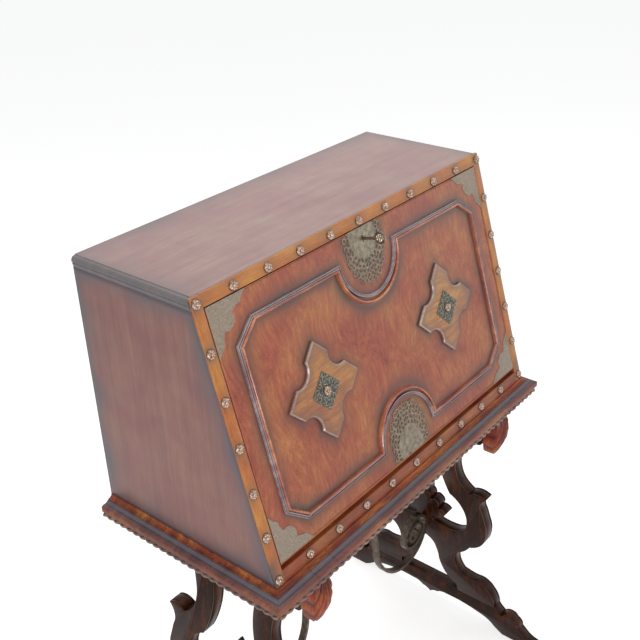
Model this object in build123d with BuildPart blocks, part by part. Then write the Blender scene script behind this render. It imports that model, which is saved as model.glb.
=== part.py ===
from build123d import *
import os
from math import atan2, cos, hypot, pi, sin, sqrt

# A drop-front writing desk on a stand of two splayed lyre trestles.
# Millimetres.  X to the right, -Y to the front, Z up from the floor.
# The origin is on the floor, under the middle of the stand.

# ---------------------------------------------------------------- driving dimensions
case_width = 780.0
case_height = 468.0
case_top_depth = 264.0
case_bottom_depth = 396.0
stand_height = 706.0  # floor to the underside of the case
board = 20.0  # case boards
strip_depth = 5.0  # lipping on the front edges
back_panel = 8.0
top_overhang = 2.0

# fall, the hinged front
fall_thickness = 19.0
fall_recess = 1.0  # its face lies this far behind the lippings
fall_gap = 1.5  # at its sides and top
fall_foot_gap = 2.5  # over the bottom board
pivot_depth = 7.0  # from the fall's face and from its lower edge
pin_radius = 2.8
pin_bite = 14.0  # length in the fall
pin_clearance = 0.06

# base frame and its moulding
frame_depth = 26.0  # height of the frame
frame_width = 18.0  # under the case
moulding_out = 25.6  # projection past the case
rope_radius = 7.2
rope_inset = 6.6  # rope's axis behind the moulding's face
rope_drop = 5.5  # rope's axis below the frame

# lopers, the pull-out supports
loper_inset = 95.0  # axis from the case's side
loper_width = 42.0
loper_length = 316.0
loper_face = 48.0
loper_clearance = 0.5
shell_height = 115.0
shell_depth = 41.0
shell_inset = 2.0  # behind the moulding's face
guide_width = 14.0

# trestles
trestle_inset = 97.4  # outer face from the case's side, at the case's underside
trestle_thickness = 30.8
splay = 0.1332  # outward run per unit of fall
top_rail_height = 95.0
top_rail_width = 40.0
rail_gap = 2.3  # between the rails and the shells
foot_top = 82.0  # foot rail's top edge above the floor
foot_reach = 292.0  # toe from the middle
web_top = 286.0  # where the scrolls join, above the floor
web_foot = 229.0

# wrought-iron stretchers
iron_thickness = 7.0
iron_width = 14.0
scroll_radius = 43.0
scroll_level = 272.0  # above the floor
stretcher_x = 60.0  # palm under the case, from the middle
palm_length = 44.0
palm_thickness = 6.0
palm_nail_reach = 14.0
forged_shank = 4.0  # square
forged_head = 9.0
forged_dome = 2.6
forged_length = 16.0

# front ornament, measured on the fall's face
band_side = 42.5  # in from the fall's sides
band_drop = 48.0  # below its upper edge
band_rise = 47.1  # above its lower edge
band_section = 12.0
band_height = 8.0
band_corner = (40.0, 32.0)
lobe_radius = 81.0
plaque_inset = 145.0  # from the band's sides
plaque_reach = 88.0
plaque_thickness = 7.0
plate_reach = 37.0
plate_teeth = 7  # serrations along a side
plate_thickness = 1.4
corner_plate_leg = 84.0
escutcheon_half = 55.0
escutcheon_height = 97.0
fret_hole = 3.8
nail_radius = 8.6
nail_height = 5.0
nail_edge = 8.0  # outer columns from the case's sides
nail_margin = 11.5  # end rows from the slope's top and foot
nails_across = 11
nails_up = 7

# lock
lock_width = 60.0
lock_height = 40.0
lock_thickness = 12.0
bolt_width = 16.0
bolt_thickness = 6.0
bolt_length = 30.0
bolt_travel = 12.0
keyhole_radius = 4.5
key_shank = 2.6
key_drop = 21.0  # keyhole below the fall's top edge
key_hollow = 13.5  # room in the lock for the key's bit

# writing interior
gallery_depth = 170.0
drawer_tier = 68.0
pigeonhole_tier = 200.0
thin_board = 9.0
drawer_count = 3
pigeonhole_count = 6
drawer_gap = 1.0
drawer_wall = 8.0
drawer_front = 12.0
drawer_field = 4.0  # raised field on the front
knob_neck = 4.0
knob_radius = 7.0
knob_stand = 4.0
knob_head = 9.0
knob_chamfer = 3.5
stop_section = 11.0

# ---------------------------------------------------------------- derived places
half = case_width / 2
inner_half = half - board
base_level = stand_height  # underside of the case
top_level = stand_height + case_height
frame_run = case_bottom_depth + moulding_out
back_y = frame_run / 2
front_y = back_y - case_bottom_depth
slope_run = case_bottom_depth - case_top_depth
slope_angle = atan2(slope_run, case_height)
slope_length = hypot(slope_run, case_height)
lean = slope_run / case_height
back_inner = back_y - back_panel
gallery_front = back_inner - gallery_depth

pivot_level = board + fall_foot_gap + pivot_depth  # above the case's underside
pivot_normal = -(fall_recess + pivot_depth)
pivot_slope = (pivot_level - pivot_normal * sin(slope_angle)) / cos(slope_angle)
fall_foot = pivot_slope - pivot_depth
fall_head = slope_length - board / cos(slope_angle) - fall_gap
fall_half = inner_half - fall_gap
fall_face = -fall_recess
fall_back = fall_face - fall_thickness
loper_x = half - loper_inset
key_slope = fall_head - key_drop
top_rail_length = frame_run - 2 * (shell_inset + shell_depth + rail_gap)
band_half_width = fall_half - band_side
band_top = fall_head - band_drop
band_foot = fall_foot + band_rise
plaque_offset = band_half_width - plaque_inset
plaque_level = (band_top + band_foot) / 2

# The slope plane: x to the right, y up the slope, z out of the front.
slope = Plane(
    origin=(0, front_y, base_level),
    x_dir=(1, 0, 0),
    z_dir=(0, -cos(slope_angle), sin(slope_angle)),
)

os.makedirs("parts", exist_ok=True)


def keep(builder, name):
    """Label a finished piece and write it to its own file."""
    builder.part.label = name
    export_step(builder.part, f"parts/{name}.step")


def flowing(*points):
    """Arcs through the points, each carrying on in the direction of the last, added as lines."""
    places = [Vector(*point) for point in points]
    chords = [end - start for start, end in zip(places[:-1], places[1:])]
    headings = [
        (first.normalized() * second.length + second.normalized() * first.length).normalized()
        for first, second in zip(chords[:-1], chords[1:])
    ]
    # the ends turn as much as the lines beside them
    opening, closing = [
        chord.normalized() * (2 * chord.normalized().dot(heading)) - heading
        for chord, heading in ((chords[0], headings[0]), (chords[-1], headings[-1]))
    ]
    headings = [opening, *headings, closing]
    for start, end, leave, reach in zip(places[:-1], places[1:], headings[:-1], headings[1:]):
        chord = end - start
        both = leave + reach
        bend = 2 * (1 - leave.dot(reach))
        along = chord.dot(both)
        room = chord.dot(chord)
        if bend * room < 1e-6 * along**2:
            Line(start, end)
        else:
            arm = (sqrt(along**2 + bend * room) - along) / bend
            middle = (start + end + (leave - reach) * arm) * 0.5
            TangentArc(start, middle, tangent=leave)
            TangentArc(end, middle, tangent=reach * -1)


def face_y(level, inset=0.0):
    """Depth of the sloping front, or of a plane inset behind it, at a level over the case's foot."""
    return front_y + level * lean + inset / cos(slope_angle)


def slab(x0, x1, outline):
    """A board or lipping: an outline in depth and height, run across the width."""
    with BuildPart(mode=Mode.PRIVATE) as piece:
        with BuildSketch(Plane.YZ.offset(x0)):
            with BuildLine():
                Polyline(*outline, close=True)
            make_face()
        extrude(amount=x1 - x0)
    return piece


def sloped(level0, level1, inset0, inset1):
    """Outline of a strip that follows the slope between two levels and two insets."""
    return [
        (face_y(level0, inset0), base_level + level0),
        (face_y(level0, inset1), base_level + level0),
        (face_y(level1, inset1), base_level + level1),
        (face_y(level1, inset0), base_level + level1),
    ]


# ---------------------------------------------------------------- case boards
side_top = case_height - board
side_outline = [
    (back_y, base_level),
    (face_y(0, strip_depth), base_level),
    (face_y(side_top, strip_depth), base_level + side_top),
    (back_y, base_level + side_top),
]
for name, x0 in (("case_side_left", -half), ("case_side_right", inner_half)):
    with BuildPart() as case_side:
        with BuildSketch(Plane.YZ.offset(x0)):
            with BuildLine():
                Polyline(*side_outline, close=True)
            make_face()
        extrude(amount=board)
        # sockets for the fall's pivot pins
        with BuildSketch(Plane.YZ.offset(x0)):
            with Locations((face_y(pivot_level, -pivot_normal), base_level + pivot_level)):
                Circle(pin_radius)
        extrude(amount=board, mode=Mode.SUBTRACT)
    keep(case_side, name)

palm_nails = [(side * stretcher_x + wing * palm_nail_reach) for side in (-1, 1) for wing in (-1, 1)]
with BuildPart() as case_bottom:
    bottom_outline = [
        (back_y, base_level),
        (face_y(0, strip_depth), base_level),
        (face_y(board, strip_depth), base_level + board),
        (back_y, base_level + board),
    ]
    add(slab(-inner_half, inner_half, bottom_outline).part)
    with BuildSketch(Plane.XY.offset(base_level)):
        with Locations(*[(x, 0) for x in palm_nails]):
            Rectangle(forged_shank, forged_shank)
    extrude(amount=forged_length, mode=Mode.SUBTRACT)
keep(case_bottom, "case_bottom")

back_outline = [
    (back_y, base_level + board),
    (back_inner, base_level + board),
    (back_inner, base_level + side_top),
    (back_y, base_level + side_top),
]
keep(slab(-inner_half, inner_half, back_outline), "case_back")

bolt_normal = fall_back + lock_thickness / 2
bolt_tip = fall_head + bolt_travel
with BuildPart() as case_top:
    with BuildSketch(Plane.YZ.offset(-half - top_overhang)):
        with BuildLine():
            Polyline(
                (back_y, base_level + side_top),
                (face_y(side_top, strip_depth), base_level + side_top),
                (face_y(case_height, strip_depth), top_level),
                (back_y, top_level),
                close=True,
            )
        make_face()
    extrude(amount=case_width + 2 * top_overhang)
    side_edges = case_top.edges().filter_by(Axis.Y)
    fillet(side_edges.group_by(Axis.Z)[-1], 4)
    chamfer(side_edges.group_by(Axis.Z)[0], top_overhang * 0.8)
    # pocket that the lock's bolt shoots into, with room for the strike plate
    with BuildSketch(slope.offset(bolt_normal - bolt_thickness / 2 - 1.5)):
        with Locations((0, bolt_tip - bolt_travel)):
            Rectangle(bolt_width + 4, 2 * bolt_travel + 4)
    extrude(amount=bolt_thickness + 3, mode=Mode.SUBTRACT)
keep(case_top, "case_top")

strike_thickness = 1.5
strike_y = face_y(side_top, -bolt_normal)
with BuildPart() as strike_plate:
    with BuildSketch(Plane.XY.offset(base_level + side_top - strike_thickness)):
        with Locations((0, strike_y)):
            Rectangle(lock_width * 0.8, 20)
            Rectangle(bolt_width + 2, bolt_thickness + 5, mode=Mode.SUBTRACT)
    extrude(amount=strike_thickness)
keep(strike_plate, "strike_plate")

# ---------------------------------------------------------------- lippings on the front edges
for name, x0, x1, low, high in (
    ("top", -inner_half, inner_half, side_top, case_height),
    ("bottom", -inner_half, inner_half, 0, board),
    ("left", -half, -inner_half, 0, case_height),
    ("right", inner_half, half, 0, case_height),
):
    keep(slab(x0, x1, sloped(low, high, 0, strip_depth)), f"edge_strip_{name}")

# ---------------------------------------------------------------- rosette nails
nail_line_low = nail_margin
nail_line_high = slope_length - nail_margin
nail_x = half - nail_edge
rows = [(-nail_x + 2 * nail_x * i / (nails_across - 1)) for i in range(nails_across)]
climb = [
    nail_line_low + (nail_line_high - nail_line_low) * i / (nails_up - 1) for i in range(nails_up)
]
nail_places = [(x, y) for x in rows for y in (climb[0], climb[-1])]
nail_places += [(x, y) for x in (rows[0], rows[-1]) for y in climb[1:-1]]
with BuildPart() as rosette_nails:
    with BuildSketch(slope):
        with Locations(*nail_places):
            RegularPolygon(nail_radius, 8)
    extrude(amount=nail_height, taper=38)
keep(rosette_nails, "rosette_nails")

# ---------------------------------------------------------------- pivot pins
with BuildPart() as pivot_pins:
    with BuildSketch(Plane.YZ.offset(-half)):
        with Locations((face_y(pivot_level, -pivot_normal), base_level + pivot_level)):
            Circle(pin_radius)
    extrude(amount=board + fall_gap + pin_bite)
    mirror(about=Plane.YZ)
keep(pivot_pins, "pivot_pins")


# ---------------------------------------------------------------- base frame
def moulding_section(top_drop=0.0):
    """Section of the base moulding: outward from the case's face, and up from its foot."""
    with BuildSketch() as section:
        with BuildLine():
            Polyline((-frame_width, -top_drop), (1, -top_drop), (1, -1.6))
            ThreePointArc((1, -1.6), (4.2, -5), (9, -6))
            Polyline((9, -6), (9, -8), (11, -8))
            ThreePointArc((11, -8), (16, -11.2), (22, -12))
            ThreePointArc((22, -12), (24.8, -13.2), (moulding_out, -16))
            Polyline(
                (moulding_out, -16),
                (moulding_out, 2 - frame_depth),
                (moulding_out - 2, -frame_depth),
                (-frame_width, -frame_depth),
                (-frame_width, -top_drop),
            )
        make_face()
    return section.sketch


def rope_section():
    """Section of the rope strip, flat on top where it meets the frame."""
    rope_axis = (moulding_out - rope_inset, -frame_depth - rope_drop)
    with BuildSketch() as section:
        with Locations(rope_axis):
            Circle(rope_radius)
        with Locations((rope_axis[0], rope_radius - frame_depth)):
            Rectangle(4 * rope_radius, 2 * rope_radius, mode=Mode.SUBTRACT)
    return section.sketch


frame_moulding = moulding_section()
rope_strip = rope_section()
mitre_left = Plane(origin=(-half, front_y, base_level), z_dir=(-1, 1, 0))
mitre_right = Plane(origin=(half, front_y, base_level), z_dir=(1, 1, 0))
side_section_left = Plane(origin=(-half, back_y, base_level), x_dir=(-1, 0, 0), z_dir=(0, 1, 0))
side_section_right = Plane(origin=(half, back_y, base_level), x_dir=(1, 0, 0), z_dir=(0, -1, 0))
loper_slot = loper_face + 2 * loper_clearance


def front_section(x):
    """Plane across the front moulding: x outward from the case's face, y up from its foot."""
    return Plane(origin=(x, front_y, base_level), x_dir=(0, -1, 0), z_dir=(-1, 0, 0))


def side_run(section, side):
    """One side length of a moulding, mitred at the front corner."""
    plane = side_section_left if side < 0 else side_section_right
    mitre = mitre_left if side < 0 else mitre_right
    with BuildPart(mode=Mode.PRIVATE) as run:
        add(plane * section)
        extrude(amount=frame_run + 10, dir=(0, -1, 0))
        split(bisect_by=mitre, keep=Keep.TOP)
    return run


def front_run(section):
    """The front length of a moulding, mitred at both ends and cut through for the lopers."""
    with BuildPart(mode=Mode.PRIVATE) as run:
        add(front_section(half + moulding_out + 10) * section)
        extrude(amount=2 * (half + moulding_out + 10), dir=(-1, 0, 0))
        split(bisect_by=mitre_left, keep=Keep.BOTTOM)
        split(bisect_by=mitre_right, keep=Keep.BOTTOM)
        with Locations((-loper_x, front_y, base_level), (loper_x, front_y, base_level)):
            Box(loper_slot, 4 * moulding_out, 4 * frame_depth, mode=Mode.SUBTRACT)
    return run


keep(side_run(frame_moulding, -1), "base_moulding_left")
keep(side_run(frame_moulding, 1), "base_moulding_right")
keep(front_run(frame_moulding), "base_moulding_front")

with BuildPart() as rope_trim:
    add(side_run(rope_strip, -1).part)
    add(side_run(rope_strip, 1).part)
    add(front_run(rope_strip).part)
keep(rope_trim, "rope_trim")

with BuildPart() as base_back_rail:
    with Locations((0, back_y - frame_width / 2, base_level - frame_depth / 2)):
        Box(2 * (half - frame_width), frame_width, frame_depth)
keep(base_back_rail, "base_back_rail")

guide_offset = loper_width / 2 + loper_clearance + guide_width / 2
guide_front = front_y + frame_width + 4
guide_back = back_y - frame_width
with BuildPart() as loper_guides:
    with Locations(
        *[
            (side * loper_x + wing * guide_offset, (guide_front + guide_back) / 2)
            for side in (-1, 1)
            for wing in (-1, 1)
        ]
    ):
        with Locations((0, 0, base_level - frame_depth / 2)):
            Box(guide_width, guide_back - guide_front, frame_depth)
keep(loper_guides, "loper_guides")

# ---------------------------------------------------------------- lopers
loper_back = front_y + frame_width
shell_front = front_y - moulding_out + shell_inset
shell_head = base_level - frame_depth
for name, side in (("left", -1), ("right", 1)):
    with BuildPart() as bar:
        with Locations((side * loper_x, loper_back + loper_length / 2, base_level - frame_depth / 2)):
            Box(loper_width, loper_length, frame_depth - 2 * loper_clearance)
        chamfer(bar.edges().filter_by(Axis.X).group_by(Axis.Y)[-1], 3)
    keep(bar, f"loper_bar_{name}")

    with BuildPart() as face:
        face_end = front_section(side * loper_x + loper_face / 2)
        add(face_end * moulding_section(loper_clearance))
        extrude(amount=loper_face, dir=(-1, 0, 0))
        add(face_end * rope_strip)
        extrude(amount=loper_face, dir=(-1, 0, 0))
    keep(face, f"loper_face_{name}")

    # scallop shell: a side profile and a front outline, crossed
    with BuildPart() as shell:
        with BuildSketch(Plane.YZ.offset(side * loper_x - loper_face / 2)):
            with BuildLine():
                back_face = shell_front + shell_depth
                Polyline(
                    (back_face, shell_head - 0.75 * shell_height),
                    (back_face, shell_head),
                    (shell_front + 15, shell_head),
                    (shell_front + 15, shell_head - 13),
                )
                flowing(
                    (shell_front + 15, shell_head - 13),
                    (shell_front + 1, shell_head - 0.34 * shell_height),
                    (shell_front + 6, shell_head - 0.72 * shell_height),
                    (shell_front + 24, shell_head - shell_height),
                    (back_face, shell_head - 0.75 * shell_height),
                )
            make_face()
        extrude(amount=loper_face)
        with BuildSketch(Plane.XZ.offset(-back_face - 1)):
            with BuildLine():
                middle = side * loper_x
                reach = loper_face / 2 - 1
                Polyline((middle - 0.8 * reach, shell_head), (middle + 0.8 * reach, shell_head))
                flowing(
                    (middle + 0.8 * reach, shell_head),
                    (middle + reach, shell_head - 0.45 * shell_height),
                    (middle + 0.72 * reach, shell_head - 0.8 * shell_height),
                    (middle, shell_head - shell_height),
                    (middle - 0.72 * reach, shell_head - 0.8 * shell_height),
                    (middle - reach, shell_head - 0.45 * shell_height),
                    (middle - 0.8 * reach, shell_head),
                )
            make_face()
        extrude(amount=2 * shell_depth, mode=Mode.INTERSECT)
    keep(shell, f"loper_shell_{name}")

# ---------------------------------------------------------------- fall
bore_radius = pin_radius + pin_clearance
with BuildPart() as fall_panel:
    with BuildSketch(slope.offset(fall_back)):
        with BuildLine():
            Polyline(
                (-fall_half, fall_foot),
                (fall_half, fall_foot),
                (fall_half, fall_head),
                (-fall_half, fall_head),
                close=True,
            )
        make_face()
    extrude(amount=fall_thickness)
    foot_edges = fall_panel.edges().filter_by(Axis.X).group_by(Axis(slope.origin, slope.y_dir))[0]
    fillet(foot_edges, pivot_depth - 0.01)
    with BuildSketch(Plane.YZ.offset(-fall_half)):
        with Locations((face_y(pivot_level, -pivot_normal), base_level + pivot_level)):
            Circle(bore_radius)
    extrude(amount=pin_bite + 1, mode=Mode.SUBTRACT)
    with BuildSketch(Plane.YZ.offset(fall_half)):
        with Locations((face_y(pivot_level, -pivot_normal), base_level + pivot_level)):
            Circle(bore_radius)
    extrude(amount=-(pin_bite + 1), mode=Mode.SUBTRACT)
    # mortise for the lock, and the keyhole
    with BuildSketch(slope.offset(fall_back)):
        with Locations((0, fall_head - lock_height / 2)):
            Rectangle(lock_width, lock_height)
    extrude(amount=lock_thickness, mode=Mode.SUBTRACT)
    with BuildSketch(slope.offset(fall_back)):
        with Locations((0, key_slope)):
            Circle(keyhole_radius)
    extrude(amount=fall_thickness, mode=Mode.SUBTRACT)
keep(fall_panel, "fall_panel")


def band_outline(grow):
    """Outline of the applied band, grown outward: chamfered corners and two inward lobes."""
    wide = band_half_width + grow
    high = band_top + grow
    low = band_foot - grow
    lobe = lobe_radius - grow
    cut_x = wide - band_corner[0] - 0.35 * grow
    cut_y = band_corner[1] + 0.35 * grow
    with BuildSketch() as outline:
        with BuildLine():
            Line((-lobe, high), (-cut_x, high))
            Line((-cut_x, high), (-wide, high - cut_y))
            Line((-wide, high - cut_y), (-wide, low + cut_y))
            Line((-wide, low + cut_y), (-cut_x, low))
            Line((-cut_x, low), (-lobe, low))
            ThreePointArc((-lobe, low), (0, low + lobe), (lobe, low))
            Line((lobe, low), (cut_x, low))
            Line((cut_x, low), (wide, low + cut_y))
            Line((wide, low + cut_y), (wide, high - cut_y))
            Line((wide, high - cut_y), (cut_x, high))
            Line((cut_x, high), (lobe, high))
            ThreePointArc((lobe, high), (0, high - lobe), (-lobe, high))
        make_face()
    return outline.sketch


with BuildPart() as fall_moulding:
    with BuildSketch(slope.offset(fall_face)):
        add(band_outline(band_section / 2))
        add(band_outline(-band_section / 2), mode=Mode.SUBTRACT)
    extrude(amount=band_height * 0.5)
    with BuildSketch(slope.offset(fall_face + band_height * 0.5)):
        add(band_outline(band_section / 2 - 1))
        add(band_outline(3 - band_section / 2), mode=Mode.SUBTRACT)
    extrude(amount=band_height * 0.5)
keep(fall_moulding, "fall_moulding")


def plaque_outline(reach):
    """A square set on its corner, with a hollow taken out of the middle of each side."""
    inner = 0.31 * reach
    outer = 0.69 * reach
    dip = 0.385 * reach
    with BuildSketch() as outline:
        with BuildLine():
            for quarter in range(4):
                turn = Rotation(0, 0, 90 * quarter)
                start, first, middle, second, end = [
                    (turn * Pos(x, y)).position
                    for x, y in (
                        (0, reach),
                        (inner, outer),
                        (dip, dip),
                        (outer, inner),
                        (reach, 0),
                    )
                ]
                Line(start, first)
                ThreePointArc(first, middle, second)
                Line(second, end)
        make_face()
    return outline.sketch


face_axis = Axis(slope.origin, slope.z_dir)
for name, x in (("plaque_left", -plaque_offset), ("plaque_right", plaque_offset)):
    with BuildPart() as plaque:
        with BuildSketch(slope.offset(fall_face)):
            with Locations((x, plaque_level)):
                add(plaque_outline(plaque_reach))
        extrude(amount=plaque_thickness)
        chamfer(plaque.faces().sort_by(face_axis)[-1].edges(), 2.5)
    keep(plaque, name)

# plates under the plaques' nails: square on a corner, pierced, with serrated edges
plate_side = plate_reach * sqrt(2)
tooth = plate_side / plate_teeth
with BuildSketch() as toothed_plate:
    Rectangle(plate_side - tooth, plate_side - tooth)
    with PolarLocations((plate_side - tooth) / 2, 4):
        with GridLocations(tooth, tooth, 1, plate_teeth - 1):
            Rectangle(tooth / sqrt(2), tooth / sqrt(2), rotation=45)
    with PolarLocations(plate_side * 0.3, 8):
        RegularPolygon(fret_hole * 0.75, 4, mode=Mode.SUBTRACT)
with BuildPart() as plaque_plates:
    with BuildSketch(slope.offset(fall_face + plaque_thickness)):
        with Locations(*[Location((x, plaque_level), 45) for x in (-plaque_offset, plaque_offset)]):
            add(toothed_plate.sketch)
    extrude(amount=plate_thickness)
keep(plaque_plates, "plaque_plates")

with BuildPart() as plaque_nails:
    with BuildSketch(slope.offset(fall_face + plaque_thickness + plate_thickness)):
        with Locations((-plaque_offset, plaque_level), (plaque_offset, plaque_level)):
            RegularPolygon(nail_radius, 8)
    extrude(amount=nail_height, taper=38)
keep(plaque_nails, "plaque_nails")

# corner plates: a right angle with a stepped long side, drawn along and down from the corner
corner_steps = [(1, 0), (0.84, 0.13), (0.78, 0.31), (0.6, 0.4), (0.56, 0.56)]
corner_steps += [(down, along) for along, down in reversed(corner_steps[:-1])]
with BuildPart() as corner_plates:
    with BuildSketch(slope.offset(fall_face)):
        for sx in (-1, 1):
            for sy, edge in ((1, fall_head), (-1, pivot_slope)):
                corner = Vector(sx * fall_half, edge)
                along = Vector(-sx, 0) * corner_plate_leg
                down = Vector(0, -sy) * corner_plate_leg
                with BuildLine():
                    steps = [corner + along * share + down * fall for share, fall in corner_steps]
                    Polyline(corner, *steps, close=True)
                make_face()
    extrude(amount=plate_thickness)
keep(corner_plates, "corner_plates")


def shield(width, height, lobes):
    """A shield, straight along the top and lobed round the rest, pierced about a plain middle."""
    with BuildSketch() as outline:
        with BuildLine():
            rim = []
            for i in range(lobes + 1):
                turn = pi * i / lobes
                rim.append(Vector(width * cos(turn), -height * 0.3 - height * 0.7 * sin(turn)))
            start = Vector(width * 0.8, 0)
            Line((-width * 0.8, 0), start)
            Polyline(start, (width * 1.04, -height * 0.16), rim[0])
            for first, second in zip(rim[:-1], rim[1:]):
                across = second - first
                out = across.rotate(Axis.Z, -90) * 0.2
                Polyline(first, first + across * 0.25 + out, first + across * 0.75 + out, second)
            Polyline(rim[-1], (-width * 1.04, -height * 0.16), (-width * 0.8, 0))
        make_face()
        for share, count in ((0.87, lobes + 2), (0.7, lobes)):
            turns = [pi * (i + 0.5) / count for i in range(count)]
            spots = [
                (width * share * cos(turn), -height * (0.3 + 0.7 * share * sin(turn)))
                for turn in turns
            ]
            with Locations(*spots):
                RegularPolygon(fret_hole, 6, mode=Mode.SUBTRACT)
    return outline.sketch


with BuildPart() as escutcheon:
    with BuildSketch(slope.offset(fall_face)):
        with Locations((0, fall_head)):
            add(shield(escutcheon_half, escutcheon_height, 9))
        with Locations((0, key_slope)):
            Circle(keyhole_radius, mode=Mode.SUBTRACT)
    extrude(amount=plate_thickness)
keep(escutcheon, "escutcheon")

with BuildPart() as lower_plate:
    with BuildSketch(slope.offset(fall_face)):
        with Locations(Location((0, pivot_slope), 180)):
            add(shield(escutcheon_half, escutcheon_height, 9))
    extrude(amount=plate_thickness)
keep(lower_plate, "lower_plate")

# ---------------------------------------------------------------- lock
lock_wall = (lock_thickness - bolt_thickness) / 2 - 0.25
bolt_room = bolt_thickness + 0.5
with BuildPart() as lock_case:
    with BuildSketch(slope.offset(fall_back)):
        with Locations((0, fall_head - lock_height / 2)):
            Rectangle(lock_width, lock_height)
    extrude(amount=lock_thickness)
    # slide for the bolt, and the hollow that the key's bit turns in
    with BuildSketch(slope.offset(fall_back + lock_wall)):
        with Locations((0, fall_head - bolt_length / 2)):
            Rectangle(bolt_width + 0.6, bolt_length + 4)
        with Locations((0, key_slope)):
            RegularPolygon(key_hollow, 12)
    extrude(amount=bolt_room, mode=Mode.SUBTRACT)
    with BuildSketch(slope.offset(fall_back)):
        with Locations((0, key_slope)):
            Circle(keyhole_radius)
    extrude(amount=lock_thickness, mode=Mode.SUBTRACT)
keep(lock_case, "lock_case")

bolt_foot = key_slope + key_shank + 0.8
with BuildPart() as lock_bolt:
    with BuildSketch(slope.offset(bolt_normal - bolt_thickness / 2)):
        with Locations((0, (bolt_foot + fall_head - 0.5) / 2)):
            Rectangle(bolt_width, fall_head - 0.5 - bolt_foot)
    extrude(amount=bolt_thickness)
keep(lock_bolt, "lock_bolt")

key_foot = fall_back + lock_wall + 0.6
bow_near = 27.0  # out from the slope plane
bow_reach = 11.0
bow_width = 11.0
with BuildPart() as key:
    with BuildSketch(slope.offset(key_foot)):
        with Locations((0, key_slope)):
            Circle(key_shank)
    extrude(amount=bow_near + 2.5 - key_foot)
    with BuildSketch(slope.offset(bow_near - 2)):
        with Locations((0, key_slope)):
            Circle(key_shank + 1.2)
    extrude(amount=2.5)
    # bit, straight down from the shank
    with BuildSketch(slope.offset(bolt_normal - 2)):
        with Locations((0, key_slope - 6)):
            Rectangle(2.4, 9)
    extrude(amount=4)
    # bow, an open ring at the shank's end
    bow_plane = Plane(origin=slope.origin - (1.6, 0, 0), x_dir=slope.y_dir, z_dir=(1, 0, 0))
    with BuildSketch(bow_plane):
        with Locations((key_slope, bow_near + bow_reach)):
            Ellipse(bow_width, bow_reach)
            Ellipse(bow_width - 3.2, bow_reach - 3.2, mode=Mode.SUBTRACT)
    extrude(amount=3.2)
keep(key, "key")

# ---------------------------------------------------------------- writing interior
stop_low = pivot_slope + 3 * pivot_depth
with BuildPart() as fall_stops:
    with BuildSketch(slope.offset(fall_back - stop_section - 0.5)):
        with Locations((inner_half - stop_section / 2, (stop_low + fall_head - 6) / 2)):
            Rectangle(stop_section, fall_head - 6 - stop_low)
    extrude(amount=stop_section)
    mirror(about=Plane.YZ)
keep(fall_stops, "fall_stops")

floor_level = base_level + board
ceiling_level = base_level + side_top
lower_shelf = floor_level + drawer_tier
upper_shelf = lower_shelf + thin_board + pigeonhole_tier
gallery_middle = (gallery_front + back_inner) / 2
for name, level in (("gallery_shelf_lower", lower_shelf), ("gallery_shelf_upper", upper_shelf)):
    with BuildPart() as shelf:
        with Locations((0, gallery_middle, level + thin_board / 2)):
            Box(2 * inner_half, gallery_depth, thin_board)
        fillet(shelf.edges().filter_by(Axis.X).group_by(Axis.Y)[0], 3)
    keep(shelf, name)

drawer_pitch = (2 * inner_half + thin_board) / drawer_count
hole_pitch = (2 * inner_half + thin_board) / pigeonhole_count
drawer_walls_x = [-inner_half - thin_board / 2 + drawer_pitch * i for i in range(1, drawer_count)]
hole_walls_x = [-inner_half - thin_board / 2 + hole_pitch * i for i in range(1, pigeonhole_count)]
with BuildPart() as gallery_partitions:
    with Locations(*[(x, gallery_middle, floor_level + drawer_tier / 2) for x in drawer_walls_x]):
        Box(thin_board, gallery_depth - 2, drawer_tier)
    hole_middle = lower_shelf + thin_board + pigeonhole_tier / 2
    with Locations(*[(x, gallery_middle + 3, hole_middle) for x in hole_walls_x]):
        Box(thin_board, gallery_depth - 6, pigeonhole_tier)
keep(gallery_partitions, "gallery_partitions")

valance_height = 32.0
hole_width = hole_pitch - thin_board
hole_centres = [-inner_half + hole_width / 2 + hole_pitch * i for i in range(pigeonhole_count)]
with BuildPart() as gallery_valances:
    for x in hole_centres:
        with BuildSketch(Plane.XZ.offset(-(gallery_front + 16))):
            with BuildLine():
                side_x = hole_width / 2 - 0.5
                Polyline(
                    (x - side_x, upper_shelf - valance_height),
                    (x - side_x, upper_shelf),
                    (x + side_x, upper_shelf),
                    (x + side_x, upper_shelf - valance_height),
                )
                flowing(
                    (x + side_x, upper_shelf - valance_height),
                    (x + side_x * 0.55, upper_shelf - valance_height * 0.55),
                    (x, upper_shelf - valance_height * 0.3),
                    (x - side_x * 0.55, upper_shelf - valance_height * 0.55),
                    (x - side_x, upper_shelf - valance_height),
                )
            make_face()
        extrude(amount=6)
keep(gallery_valances, "gallery_valances")

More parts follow.
